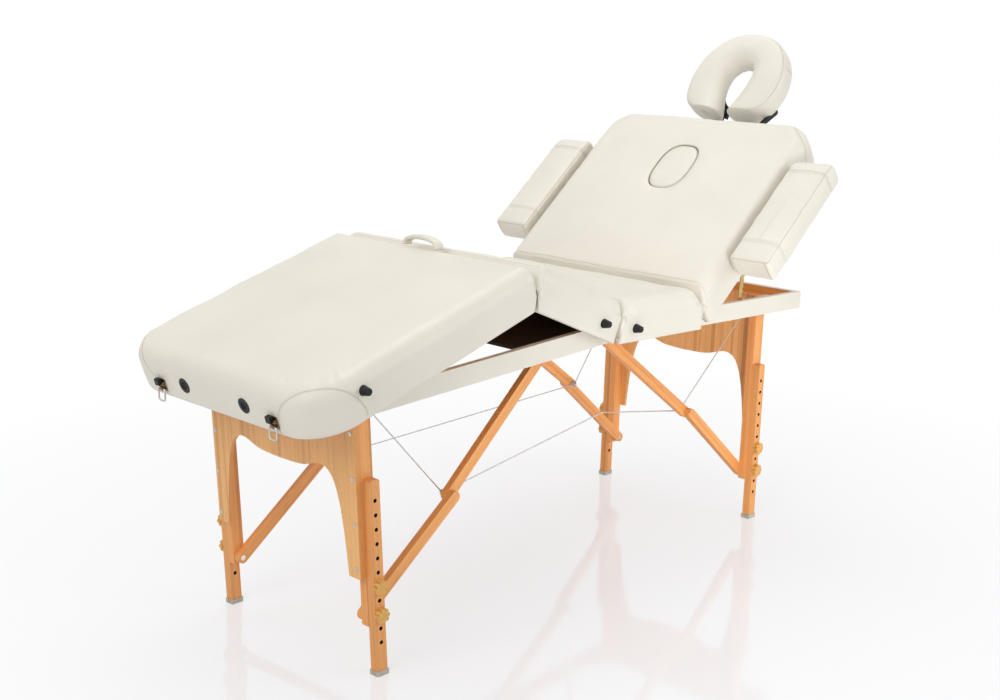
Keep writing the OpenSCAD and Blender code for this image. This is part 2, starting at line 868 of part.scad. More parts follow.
// Bar with round ends from p to q in the u-w plane, between y0 and y1
module link(p, q, y0, y1) {
    d = q - p;
    l = norm(d);
    translate(p) rotate([0, -atan2(d[2], d[0]), 0]) {
        span([0, y0, -brace_width / 2], [l, y1, brace_width / 2]);
        bar_y(brace_width / 2, y0, y1);
        translate([l, 0, 0]) bar_y(brace_width / 2, y0, y1);
    }
}

module lower_braces(low, knee) {
    both() difference() {
        link(low, knee, lower_brace_in, lower_brace_y);
        translate(low) {
            bar_y(brace_bolt_r + run_fit, lower_brace_in - sm, lower_brace_y + sm);
            bar_y(brace_head_r + run_fit, lower_brace_in - sm,
                lower_brace_in + brace_gap + ear_thick + run_fit);
        }
    }
}

module upper_braces(anchor_at, knee) {
    both() difference() {
        link(knee, anchor_at, upper_brace_in, upper_brace_y);
        translate(anchor_at) bar_y(bolt_r + run_fit, upper_brace_in - sm, upper_brace_y + sm);
    }
}

module foot_lower_braces() {
    color(wood_color) foot_half() lower_braces(foot_low, foot_knee);
}

module foot_upper_braces() {
    color(wood_color) foot_half() upper_braces(foot_anchor, foot_knee);
}

module head_lower_braces() {
    color(wood_color) head_half() lower_braces(head_low, head_knee);
}

module head_upper_braces() {
    color(wood_color) head_half() upper_braces(head_anchor, head_knee);
}

// Steel washer and wire eye on the inner face of the upper brace
module eye() {
    both() {
        bar_y(brace_head_r * 1.4, upper_brace_in - ear_thick, upper_brace_in);
        translate([0, upper_brace_in - ear_thick - eye_r + eye_wire / 2, 0]) rotate([90, 0, 90])
            rotate_extrude() translate([eye_r, 0]) circle(r = eye_wire, $fn = 16);
    }
}

module foot_brace_eyes() {
    color(steel_color) foot_half() translate(foot_knee) eye();
}

module head_brace_eyes() {
    color(steel_color) head_half() translate(head_knee) eye();
}

eye_y = upper_brace_in - ear_thick - eye_r + eye_wire / 2;
pivot_end_y = upper_inner_y - brace_gap - ear_thick;

// Cable from the eye to the inner end of the leg pivot bolt
module short_cable(knee, pu) {
    a = [knee[0], eye_y, knee[2]];
    b = [pu, pivot_end_y - rope_r * 1.7, pivot_w];
    both() {
        rod(rope_end(a, b), b, rope_r);
        ferrule(a, b);
        translate(b) bar_y(rope_r * 2.5, -rope_r * 1.6, rope_r * 1.6);
    }
}

module short_cables_foot() {
    color(steel_color) foot_half() short_cable(foot_knee, foot_pivot_u);
}

module short_cables_head() {
    color(steel_color) head_half() short_cable(head_knee, head_pivot_u);
}

function to_foot(p) = [fold_x - p[0] * cos(camber) - p[2] * sin(camber), p[1],
    hinge_z - p[0] * sin(camber) + p[2] * cos(camber)];
function to_head(p) = [fold_x + p[0] * cos(camber) + p[2] * sin(camber), p[1],
    hinge_z - p[0] * sin(camber) + p[2] * cos(camber)];

// Start of a rope that leads from the middle p of an eye toward q, on its own side of the eye
function rope_end(p, q) = let(e = (q - p) / norm(q - p))
    p + e * (rope_gap / 2 + rope_r * 1.6 * sqrt(1 - e[0] * e[0])) / abs(e[0]);

// Pressed ferrule that ends such a rope
module ferrule(p, q) {
    s = rope_end(p, q);
    rod(s, s + (q - p) / norm(q - p) * rope_r * 5, rope_r * 1.6);
}

module long_cable(side, share, lift) {
    a = to_foot([foot_knee[0], eye_y * side, foot_knee[2]]);
    b = to_head([head_knee[0], eye_y * side, head_knee[2]]);
    m = a + (b - a) * share + [0, 0, lift];
    to_b = lift > 0 ? m : b;
    to_a = lift > 0 ? m : a;
    if (lift > 0) {
        rod(rope_end(a, m), m, rope_r);
        rod(m, rope_end(b, m), rope_r);
        translate(m) sphere(r = rope_r * 1.6, $fn = 16);
    } else rod(rope_end(a, b), rope_end(b, a), rope_r);
    ferrule(a, to_b);
    ferrule(b, to_a);
}

module long_cables() {
    color(steel_color) {
        long_cable(-1, rope_kink_share, rope_kink);
        long_cable(1, rope_kink_share, 0);
    }
}

// ---------- section boards ----------

// Plan of a board or pad: square at the hinge end, round corners at the far end
module plan(x0, x1, half, r) {
    translate([x0, -half]) square([x1 - x0 - r, 2 * half]);
    translate([x1 - r - sm, -half + r]) square([r + sm, 2 * (half - r)]);
    for (s = [-1, 1]) translate([x1 - r, s * (half - r)]) circle(r = r, $fn = 48);
}

module hinge_pockets(x, dir) {
    for (s = [-1, 1]) translate([x, s * hinge_y, 0])
        span([min(0, dir * leaf_reach), -hinge_half, -sm],
            [max(0, dir * leaf_reach), hinge_half, leaf_thick]);
}

// Ear under a board for a ratchet arm
module ratchet_ears(x) {
    both() translate([x, leg_outer_y + brace_gap * 3, 0]) {
        span([-ear_half, 0, -ratchet_drop], [ear_half, ear_thick - brace_gap, 0]);
        translate([0, 0, -ratchet_drop])
            bar_y(ear_half / 2, 0, ear_thick - brace_gap);
        translate([0, 0, -ratchet_drop])
            bar_y(bolt_r, 0, ear_thick + ratchet_thick + brace_gap);
    }
}

// Wooden block under a board's end
module end_block(x1) {
    span([x1 - bore_depth, -end_block_half, -end_block_height],
        [x1 - skirt_thick - brace_gap, end_block_half, sm]);
}

// The two headrest bores of a section's end
module end_bores(x1) {
    for (s = [-1, 1]) translate([0, s * bore_half, -bore_drop])
        bar_x(post_r + post_fit, x1 - bore_depth - sm, x1);
}

module face_hole(grow, z0, z1) {
    translate([face_place, 0, z0]) linear_extrude(height = z1 - z0) {
        for (s = [-1, 1]) translate([s * plug_run, 0]) circle(r = plug_r + grow, $fn = 48);
        square([2 * plug_run, 2 * (plug_r + grow)], center = true);
    }
}

module thigh_board() {
    color(wood_color) thigh_place() {
        difference() {
            span([board_setback, -board_half, 0], [thigh_pad - board_setback, board_half, board_thick]);
            hinge_pockets(0, 1);
            hinge_pockets(thigh_pad, -1);
        }
        hinge_one();
        translate([thigh_pad, 0, 0]) mirror([1, 0, 0]) hinge_two();
    }
}

module leg_board() {
    color(wood_color) leg_place() {
        difference() {
            union() {
                linear_extrude(height = board_thick)
                    plan(board_setback, leg_pad - skirt_thick - brace_gap, board_half,
                        foot_corner - skirt_thick);
                end_block(leg_pad);
            }
            hinge_pockets(0, 1);
            end_bores(leg_pad);
        }
        hinge_one();
        ratchet_ears(leg_ratchet_x);
    }
}

module seat_board() {
    color(wood_color) seat_place() {
        difference() {
            span([board_setback, -board_half, 0], [seat_pad - board_setback, board_half, board_thick]);
            translate([0, 0, deck_gap]) hinge_pockets(seat_pad, -1);
            hinge_pockets(seat_pad, -1);
        }
        translate([seat_pad, 0, deck_gap]) mirror([1, 0, 0]) hinge_two();
    }
}

module side_blocks(grow) {
    for (x = [arm_start + arm_pin_inset, arm_start + arm_length - arm_pin_inset])
        both() span([x - side_block_half - grow, pad_half - arm_pin_depth, board_thick - sm * grow / 2],
            [x + side_block_half + grow, board_half + grow, board_thick + 2 * arm_pin_rise + grow]);
}

module arm_pins(r, y0, y1) {
    for (x = [arm_start + arm_pin_inset, arm_start + arm_length - arm_pin_inset])
        translate([x, 0, board_thick + arm_pin_rise]) bar_y(r, y0, y1);
}

module back_board() {
    color(wood_color) back_place() {
        difference() {
            union() {
                linear_extrude(height = board_thick)
                    plan(board_setback, back_pad - skirt_thick - brace_gap, board_half,
                        head_corner - skirt_thick);
                end_block(back_pad);
            }
            hinge_pockets(0, 1);
            face_hole(0, -sm, board_thick + sm);
            end_bores(back_pad);
        }
        difference() {
            side_blocks(0);
            both() arm_pins(arm_pin_r + post_fit, pad_half - arm_pin_depth + bolt_left, pad_half);
        }
        hinge_one();
        ratchet_ears(back_ratchet_x);
    }
}

// ---------- cushions ----------

// Outline ring of a pad: rectangle with its own corner radius at each end
function ring(x0, x1, h, r0, r1, z, n) = concat(
    [for (i = [0 : n]) [x1 - r1 + r1 * cos(90 * i / n), h - r1 + r1 * sin(90 * i / n), z]],
    [for (i = [0 : n]) [x0 + r0 - r0 * sin(90 * i / n), h - r0 + r0 * cos(90 * i / n), z]],
    [for (i = [0 : n]) [x0 + r0 - r0 * cos(90 * i / n), -h + r0 - r0 * sin(90 * i / n), z]],
    [for (i = [0 : n]) [x1 - r1 + r1 * sin(90 * i / n), -h + r1 - r1 * cos(90 * i / n), z]]);

// Closed surface over a stack of rings with equal point counts
module stack(rings) {
    m = len(rings[0]);
    k = len(rings);
    pts = [for (a = rings) for (b = a) b];
    polyhedron(points = pts, faces = concat(
        [[for (i = [0 : m - 1]) i]],
        [for (j = [0 : k - 2]) for (i = [0 : m - 1])
            [j * m + i, (j + 1) * m + i, (j + 1) * m + (i + 1) % m, j * m + (i + 1) % m]],
        [[for (i = [m - 1 : -1 : 0]) (k - 1) * m + i]]));
}

// Pad body from x0 to x1 with rounded top edges; e0 and e1 scale the rounding at its ends
module pad_body(x0, x1, r0, r1, e0, e1) {
    top = foam_height;
    steps = 6;
    stack(concat(
        [ring(x0, x1, pad_half, r0, r1, -skirt_drop, 5)],
        [for (i = [0 : steps])
            let (a = 90 * i / steps, d = edge_round * (1 - cos(a)))
            ring(x0 + d * e0, x1 - d * e1, pad_half - d,
                max(r0 - d * e0 / 4, r0 / 2), max(r1 - d * e1 / 2, r1 / 2),
                top - crown - edge_round * (1 - sin(a)), 5)],
        [ring(x0 + edge_round * 2 * e0, x1 - edge_round * 2 * e1, pad_half - edge_round * 2,
            r0 / 2, r1 / 2, top - crown / 4, 5),
         ring(x0 + edge_round * 4 * e0, x1 - edge_round * 4 * e1, pad_half - edge_round * 4,
            r0 / 2, r1 / 3, top, 5)]));
}

// Removes what lies past a plane through the hinge at x that leans back by angle a
module bevel(x, a) {
    translate([x, 0, 0]) rotate([0, -a, 0])
        translate([-pad_end_gap / 2, -big, 0]) cube([big, 2 * big, big]);
}

// Same below the deck level, for skirts that close when a section folds down
module under_bevel(x, a) {
    translate([x, 0, 0]) rotate([0, a, 0])
        translate([-pad_end_gap / 2, -big, -big]) cube([big, 2 * big, big]);
}

module knuckle_room(x) {
    translate([x, 0, 0]) bar_y(knuckle_r + pin_r, -hinge_y - 2 * hinge_half, hinge_y + 2 * hinge_half);
}

module thigh_cushion() {
    color(leather_color) thigh_place() difference() {
        pad_body(pad_end_gap, thigh_pad - pad_end_gap, hinge_corner, hinge_corner, 1 / 3, 1 / 3);
        span([-sm, -recess_half, -big], [thigh_pad + sm, recess_half, board_thick]);
        mirror([1, 0, 0]) bevel(0, bevel_bc);
        under_bevel(thigh_pad, bevel_knee);
        for (k = [0 : 8]) translate([thigh_pad, 0, 0]) {
            rotate([0, (thigh_rise + leg_fall) * k / 8, 0]) handle_form(handle_gap);
            for (s = [-1, 1]) hull() for (j = [0, 1])
                rotate([0, (thigh_rise + leg_fall) * (k + j) / 9, 0]) handle_foot(s, handle_gap);
        }
        knuckle_room(0);
        knuckle_room(thigh_pad);
        translate([thigh_bumper_x, -pad_half, -low_bumper_z]) bar_y(bumper_tip / 2, -sm, skirt_thick / 2);
    }
}

module leg_cushion() {
    color(leather_color) leg_place() difference() {
        pad_body(pad_end_gap, leg_pad, hinge_corner, foot_corner, 1 / 3, 1);
        translate([0, 0, -big]) linear_extrude(height = big + board_thick)
            plan(-sm, leg_pad - skirt_thick, recess_half, foot_corner - skirt_thick);
        mirror([1, 0, 0]) under_bevel(0, bevel_knee);
        handle_form(handle_gap);
        knuckle_room(0);
        for (s = [-1, 1]) translate([0, s * bore_half, -bore_drop])
            bar_x(grommet_tube, leg_pad - 2 * skirt_thick, leg_pad + sm);
        translate([leg_bumper_x, -pad_half, leg_bumper_z]) bar_y(bumper_tip / 2, -sm, skirt_thick / 2);
    }
}

module seat_cushion() {
    color(leather_color) seat_place() difference() {
        pad_body(pad_end_gap, seat_pad - pad_end_gap, hinge_corner, hinge_corner, 1 / 3, 1 / 3);
        span([-sm, -recess_half, -big], [seat_pad + sm, recess_half, board_thick]);
        mirror([1, 0, 0]) bevel(0, bevel_bc);
        bevel(seat_pad, bevel_cd);
        knuckle_room(0);
        knuckle_room(seat_pad);
        translate([seat_bumper_x, -pad_half, -low_bumper_z]) bar_y(bumper_tip / 2, -sm, skirt_thick / 2);
    }
}

module back_cushion() {
    color(leather_color) back_place() difference() {
        pad_body(pad_end_gap, back_pad, hinge_corner, head_corner, 1 / 3, 1);
        translate([0, 0, -big]) linear_extrude(height = big + board_thick)
            plan(-sm, back_pad - skirt_thick, recess_half, head_corner - skirt_thick);
        mirror([1, 0, 0]) bevel(0, bevel_cd);
        knuckle_room(0);
        side_blocks(brace_gap);
        face_hole(plug_gap, 0, big);
        both() arm_pins(arm_pin_r + post_fit, recess_half - sm, pad_half + sm);
        for (s = [-1, 1]) translate([0, s * bore_half, -bore_drop])
            bar_x(grommet_tube, back_pad - 2 * skirt_thick, back_pad + sm);
    }
}

// Removable plug of the face opening
module face_plug() {
    color(leather_color) back_place() difference() {
        face_hole(-plug_gap / 2, 0, foam_height - crown / 4);
        translate([face_place, 0, -sm]) cylinder(r = plug_r / 3, h = board_thick);
    }
}

// Padded grip loop over the knee, grown by g
module handle_form(g) {
    translate([0, handle_y, foam_height - edge_round / 3]) rotate([0, -bevel_knee, 0]) difference() {
        translate([-handle_width / 2 - g, -handle_span - g, -g])
            cube([handle_width + 2 * g, 2 * (handle_span + g), handle_rise + handle_thick * 2]);
        translate([-handle_width, -handle_span + handle_thick + g, -big])
            cube([2 * handle_width, 2 * (handle_span - handle_thick - g), handle_rise + handle_thick + big]);
    }
}

// One foot of the handle's arch, g larger all round
module handle_foot(s, g) {
    translate([0, handle_y + s * (handle_span - handle_thick / 2), foam_height - edge_round / 3])
        rotate([0, -bevel_knee, 0]) translate([-handle_width / 2 - g, -handle_thick / 2 - g, -g])
            cube([handle_width + 2 * g, handle_thick + 2 * g, handle_rise + handle_thick * 2]);
}

module knee_handle() {
    color(leather_color) leg_place() handle_form(0);
}

// ---------- bumpers, grommets, ratchets, latches ----------

module bumper(x, z) {
    translate([x, -pad_half, z]) rotate([90, 0, 0]) {
        cylinder(r1 = bumper_r, r2 = bumper_tip, h = bumper_length);
        translate([0, 0, -skirt_thick / 2 + sm]) cylinder(r = bumper_tip / 2, h = skirt_thick / 2);
    }
}

module leg_bumper() {
    color(black_color) leg_place() bumper(leg_bumper_x, leg_bumper_z);
}

module thigh_bumper() {
    color(black_color) thigh_place() bumper(thigh_bumper_x, -low_bumper_z);
}

module seat_bumper() {
    color(black_color) seat_place() bumper(seat_bumper_x, -low_bumper_z);
}

module grommets(x1) {
    for (s = [-1, 1]) translate([0, s * bore_half, -bore_drop]) difference() {
        union() {
            bar_x(grommet_tube, x1 - skirt_thick, x1);
            bar_x(grommet_r, x1, x1 + grommet_flange);
        }
        bar_x(post_r + post_fit, x1 - 2 * skirt_thick, x1 + 2 * grommet_flange);
    }
}

module leg_grommets() {
    color(black_color) leg_place() grommets(leg_pad);
}

module back_grommets() {
    color(black_color) back_place() grommets(back_pad);
}

// Slotted arm along +X from its pivot, with a stud that meets the rail plate
module ratchet_arm() {
    y0 = leg_outer_y + brace_gap * 3 + ear_thick - brace_gap + slide_gap;
    y1 = y0 + ratchet_thick;
    plate_y = rail_inner - ratchet_plate_thick;
    difference() {
        union() {
            span([0, y0, -ratchet_half], [ratchet_length, y1, ratchet_half]);
            bar_y(ratchet_half, y0, y1);
            translate([ratchet_length, 0, 0]) bar_y(ratchet_half, y0, y1);
        }
        bar_y(bolt_r + run_fit, y0 - sm, y1 + sm);
        for (i = [1 : notch_count])
            translate([ratchet_length - notch_pitch * (i + 1), 0, ratchet_half])
                bar_y(notch_pitch / 4, y0 - sm, y1 + sm);
    }
    translate([ratchet_length, 0, 0]) bar_y(bolt_r, y1, plate_y);
}

module leg_ratchets() {
    color(steel_color) leg_place() both() translate([leg_ratchet_x, 0, -ratchet_drop])
        rotate([0, leg_ratchet_turn, 0]) ratchet_arm();
}

module back_ratchets() {
    color(steel_color) back_place() both() translate([back_ratchet_x, 0, -ratchet_drop])
        rotate([0, 180 - back_ratchet_turn, 0]) ratchet_arm();
}

latch_z = -skirt_drop + latch_height * 1.5;
latch_x = leg_pad + latch_thick + ring_wire * 2;
lever_z = latch_z - latch_height / 3;
swing_z = latch_z - latch_height * 0.8;

// Plate with lugs for the lever pin and a knuckle for the pull ring
module latch_plates() {
    color(steel_color) leg_place() both() {
        span([leg_pad, latch_y - latch_half, latch_z - latch_height],
            [leg_pad + latch_thick, latch_y + latch_half, latch_z]);
        for (s = [-1, 1]) translate([latch_x, latch_y + s * latch_half * 2 / 3, lever_z])
            difference() {
                union() {
                    bar_y(ring_wire * 1.8, -ring_wire, ring_wire);
                    span([leg_pad + latch_thick - latch_x, -ring_wire, -ring_wire * 1.8],
                        [0, ring_wire, ring_wire * 1.8]);
                }
                bar_y(ring_wire * 0.6 + run_fit, -latch_half, latch_half);
            }
        translate([latch_x, latch_y, swing_z]) difference() {
            union() {
                bar_y(ring_wire * 2, -latch_half / 3, latch_half / 3);
                span([leg_pad + latch_thick - latch_x, -latch_half / 3, -ring_wire * 2],
                    [0, latch_half / 3, ring_wire * 2]);
            }
            bar_y(ring_wire + run_fit, -latch_half, latch_half);
        }
    }
}

// Black lever on a cross pin between the plate's lugs
module latch_levers() {
    color(black_color) leg_place() both() translate([latch_x, latch_y, lever_z]) {
        bar_y(ring_wire * 0.6, -latch_half * 0.8, latch_half * 0.8);
        span([-ring_wire, -latch_half * 0.5, -ring_wire],
            [ring_wire * 4, latch_half * 0.5, latch_height / 2.2]);
    }
}

// Hanging pull ring: straight top bar in the knuckle, two straight sides, round corners
module latch_rings() {
    c = ring_wire * 3;
    wide = ring_r - c;
    color(steel_color) leg_place() both() translate([latch_x, latch_y, swing_z])
        rotate([0, -(leg_fall + camber), 0]) {
            for (z = [0, -2 * c - ring_length]) translate([0, 0, z])
                bar_y(ring_wire, -wide, wide);
            for (s = [-1, 1]) translate([0, s * ring_r, -c - ring_length])
                cylinder(r = ring_wire, h = ring_length);
            rotate([90, 0, 90]) for (q = [0 : 3])
                translate([q == 0 || q == 3 ? wide : -wide, q < 2 ? -c : -c - ring_length, 0])
                    rotate([0, 0, 90 * q]) rotate_extrude(angle = 90)
                        translate([c, 0]) circle(r = ring_wire);
        }
}

// ---------- headrest ----------

module headrest_frame() {
    color(steel_color) {
        back_place() {
            for (s = [-1, 1]) translate([0, s * bore_half, -bore_drop])
                bar_x(post_r, back_pad - bore_depth + bolt_left, back_pad + bar_place);
        }
        bar_frame() {
            bar_y(bar_r, -bore_half - post_r - 2 * slide_gap - cam_r - bar_r / 2, bore_half);
            for (s = [-1, 1]) translate([0, s * bore_half, 0]) sphere(r = post_r);
        }
    }
}

// Plate carried by two clamps on the bar
module headrest_platform() {
    color(black_color) bar_frame() rotate([0, -ring_tilt, 0]) {
        both() difference() {
            union() {
                translate([0, clamp_y, 0]) bar_y(clamp_r, -clamp_width / 2, clamp_width / 2);
                span([-clamp_r / 4, clamp_y - clamp_width / 2,
                        -ring_lift - cradle_half_thick - plate_thick],
                    [clamp_r, clamp_y + clamp_width / 2, 0]);
            }
            bar_y(bar_r + run_fit, clamp_y - clamp_width, clamp_y + clamp_width);
        }
        translate([0, 0, -ring_lift - cradle_half_thick - plate_thick])
            linear_extrude(height = plate_thick) difference() {
                union() {
                    translate([ring_place, 0]) circle(r = cradle_long - plate_inset, $fn = 64);
                    for (s = [-1, 1]) translate([0, s * clamp_y - clamp_width / 2])
                        square([ring_place - cradle_long / 2, clamp_width]);
                }
                translate([ring_place, 0]) circle(r = plate_hole, $fn = 48);
                translate([ring_place - cradle_long, -plate_slot])
                    square([cradle_long, 2 * plate_slot]);
            }
    }
}

// Point of the ring's inner edge and of its outer edge at share t from the gap to the head end
function cradle_in(t) =
    let (l = cradle_long - 2 * cradle_tube, h = cradle_half - 2 * cradle_tube,
        a = asin(cradle_gap / h) * (1 - t) + 180 * t) [-l * cos(a), h * sin(a)];
function cradle_out(t) =
    let (a0 = acos(cradle_flat / cradle_long), y0 = cradle_half * sin(a0), k = t / cradle_turn,
        a = a0 + (180 - a0) * (t - cradle_turn) / (1 - cradle_turn))
    k < 1 ? [-cradle_flat, cradle_gap + (y0 - cradle_gap) * k]
        : [-cradle_long * cos(a), cradle_half * sin(a)];

// Section of the ring cushion at share t of side s, n points, shrunk by grow about its middle
function cradle_ring(t, s, grow, n) =
    let (p = cradle_in(t), q = cradle_out(t), m = (p + q) / 2, d = (q - p) / 2)
    [for (j = [0 : n - 1]) let (b = 360 * j / n,
        cx = pow(abs(cos(b)), 0.75) * sign(cos(b)), cz = pow(abs(sin(b)), 0.75) * sign(sin(b)))
        [m[0] + d[0] * grow * cx, s * (m[1] + d[1] * grow * cx), cradle_half_thick * grow * cz]];

module headrest_cushion() {
    n = 16;
    k = 16;
    grow = [0.86, 0.97];
    color(leather_color) ring_frame() difference() {
        stack([for (i = [0 : 2 * k]) let (j = i <= k ? i : 2 * k - i)
            cradle_ring(j == 1 ? 0.4 / k : j / k, i <= k ? 1 : -1, j < 2 ? grow[j] : 1, n)]);
        translate([-big, -big, -2 * big - cradle_half_thick + sm / 2]) cube(2 * big);
    }
}

// Lever outside the near post: cam on the bar's end and a tapered arm
module cam_lever() {
    y1 = -bore_half - post_r - slide_gap;
    y0 = y1 - cam_r - slide_gap;
    color(black_color) bar_frame() rotate([0, cam_angle - ring_tilt, 0]) difference() {
        union() {
            bar_y(cam_r + bar_r / 2, y0, y1);
            hull() {
                translate([cam_r, 0, 0]) bar_y(cam_r / 2, y0 + slide_gap, y1 - slide_gap);
                translate([cam_length - cam_r, 0, 0]) bar_y(cam_r * 0.8, y0 + slide_gap, y1 - slide_gap);
            }
        }
        bar_y(bar_r + run_fit, y0 - sm, y1 + sm);
    }
}

// ---------- armrests ----------

module arm_block() {
    n = 6;
    w = arm_width;
    z0 = foam_height - arm_thick;
    x0 = arm_start;
    x1 = arm_start + arm_length;
    translate([0, arm_inner + w / 2, 0]) stack(concat(
        [for (i = [0 : 3]) let (d = arm_round * (1 - sin(30 * i)))
            ring(x0 + d, x1 - d, w / 2 - d, arm_round * 1.4 - d / 2, arm_round * 1.4 - d / 2,
                z0 + arm_round * (1 - cos(30 * i)), n)],
        [for (i = [0 : 3]) let (d = arm_round * (1 - cos(30 * i)))
            ring(x0 + d, x1 - d, w / 2 - d, arm_round * 1.4 - d / 2, arm_round * 1.4 - d / 2,
                foam_height - arm_round * (1 - sin(30 * i)), n)]));
}

module armrest() {
    difference() {
        arm_block();
        arm_pins(arm_pin_r, 0, arm_inner + arm_width / 2);
    }
    arm_pins(arm_pin_r, pad_half - arm_pin_depth + 2 * bolt_left, arm_inner + arm_width / 2);
}

module armrest_near() {
    color(leather_color) back_place() mirror([0, 1, 0]) armrest();
}

module armrest_far() {
    color(leather_color) back_place() armrest();
}

// ---------- nodes ----------

foot_side_rails();
head_side_rails();
foot_cross_rails();
head_cross_rails();
deck_board();
foot_hardware();
head_hardware();
foot_upper_legs();
head_upper_legs();
lower_leg_foot_near();
lower_leg_foot_far();
lower_leg_head_near();
lower_leg_head_far();
rubber_foot_foot_near();
rubber_foot_foot_far();
rubber_foot_head_near();
rubber_foot_head_far();
end_panel_foot();
end_panel_head();
foot_leg_screws();
head_leg_screws();
foot_knobs_upper();
foot_knobs_lower();
head_knobs_upper();
head_knobs_lower();
foot_lower_braces();
foot_upper_braces();
head_lower_braces();
head_upper_braces();
foot_brace_eyes();
head_brace_eyes();
short_cables_foot();
short_cables_head();
long_cables();
leg_board();
thigh_board();
seat_board();
back_board();
leg_cushion();
thigh_cushion();
seat_cushion();
back_cushion();
face_plug();
knee_handle();
leg_bumper();
thigh_bumper();
seat_bumper();
leg_grommets();
back_grommets();
leg_ratchets();
back_ratchets();
headrest_frame();
headrest_platform();
headrest_cushion();
cam_lever();
armrest_near();
armrest_far();
latch_plates();
latch_levers();
latch_rings();
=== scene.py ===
"""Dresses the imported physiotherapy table: padded sections, headrest, armrests, materials, stage."""
import math
import bmesh
import bpy
import numpy as np
from mathutils import Matrix, Vector


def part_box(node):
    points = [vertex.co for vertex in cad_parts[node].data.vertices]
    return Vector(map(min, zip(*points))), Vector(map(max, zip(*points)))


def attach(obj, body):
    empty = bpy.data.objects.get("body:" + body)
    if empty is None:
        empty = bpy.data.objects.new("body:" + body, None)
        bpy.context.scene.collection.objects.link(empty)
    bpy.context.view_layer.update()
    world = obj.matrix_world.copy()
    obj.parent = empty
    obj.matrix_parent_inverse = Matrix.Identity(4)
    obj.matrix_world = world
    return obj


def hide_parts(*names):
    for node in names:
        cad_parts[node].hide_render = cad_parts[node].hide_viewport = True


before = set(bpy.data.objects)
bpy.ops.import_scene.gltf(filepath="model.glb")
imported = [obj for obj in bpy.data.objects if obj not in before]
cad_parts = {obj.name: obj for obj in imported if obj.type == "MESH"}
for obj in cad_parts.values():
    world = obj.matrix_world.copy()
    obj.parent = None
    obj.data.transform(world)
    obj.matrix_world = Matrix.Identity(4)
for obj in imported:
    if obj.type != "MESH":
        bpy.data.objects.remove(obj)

bl_info = {
    "name": "Physiotherapy table",
    "version": (1, 0, 0),
    "blender": (4, 5, 0),
    "location": "3D View > Sidebar > Table",
    "description": "Builds the padded pieces, materials and stage of a folding treatment table",
    "category": "Object",
}

MM = 0.001
# Padding in millimetres: skirt below the deck, its wall, top rounding, crown, hinge gap
SKIRT, WALL, EDGE, CROWN, GAP = 43.0, 17.3, 34.0, 2.5, 1.2
# Lengths of the four sections in millimetres
LEG, THIGH, SEAT, BACK = 603, 295, 305, 588
# Face opening of the back section in millimetres: centre, half length and half width
HOLE = (395.0, 0.0, 80.0, 57.5)
# Distance of the end bores from the middle, in millimetres
BORE_Y = 98
# Lamps: name, place, size, power, target and spread in degrees
LAMPS = (("key", (-3.6, -0.7, 2.9), 2.4, 52, (0, 0, 0.6), 180),
         ("top", (0.8, 0.8, 3.8), 2.6, 42, (0.1, 0, 0.6), 180),
         ("fill", (2.2, -3.8, 1.7), 2.4, 40, (0.3, 0, 0.5), 180),
         ("low", (-1.2, -2.8, 0.35), 0.8, 3, (0.7, 0, 0.3), 46))
# Camera: its right, up and forward directions, its place against the fold line, its lens
RIGHT, UP, FORWARD = ((0.69448, -0.71936, 0.01480), (0.15974, 0.17421, 0.97167),
                      (0.70155, 0.67244, -0.23590))
EYE, LENS = (-2.3454, -2.1924, 1.2939), 50.54


# ---------------------------------------------------------------- settings

class TableSizes(bpy.types.PropertyGroup):
    """Sizes of the padding, in the unit of each value."""
    camber: bpy.props.FloatProperty(
        name="Camber", description="Slope of each half frame", default=math.radians(2.3),
        subtype="ANGLE")
    fold_x: bpy.props.FloatProperty(
        name="Fold line", description="X of the centre fold", default=-0.0539, unit="LENGTH")
    fold_z: bpy.props.FloatProperty(
        name="Fold height", description="Height of the centre fold axis", default=0.579,
        unit="LENGTH")
    deck: bpy.props.FloatProperty(
        name="Deck level", description="Section hinges over the fold axis", default=0.0472,
        unit="LENGTH")
    thigh_rise: bpy.props.FloatProperty(
        name="Thigh rise", description="Rise of the thigh section against the frame",
        default=math.radians(25.4), subtype="ANGLE")
    leg_fall: bpy.props.FloatProperty(
        name="Leg fall", description="Fall of the leg section against the frame",
        default=math.radians(14.5), subtype="ANGLE")
    back_rise: bpy.props.FloatProperty(
        name="Back rise", description="Tilt of the back section against the frame",
        default=math.radians(41.8), subtype="ANGLE")
    ring_tilt: bpy.props.FloatProperty(
        name="Ring tilt", description="Tilt of the headrest against the back section",
        default=math.radians(13.5), subtype="ANGLE")
    pad_half: bpy.props.FloatProperty(
        name="Pad half width", description="Half the width of the pads", default=0.311,
        unit="LENGTH")
    foam: bpy.props.FloatProperty(
        name="Foam height", description="Height of the pads over the deck level",
        default=0.057, unit="LENGTH")
    puff: bpy.props.FloatProperty(
        name="Puff", description="How far the sides of the pads swell", default=0.0035,
        unit="LENGTH")


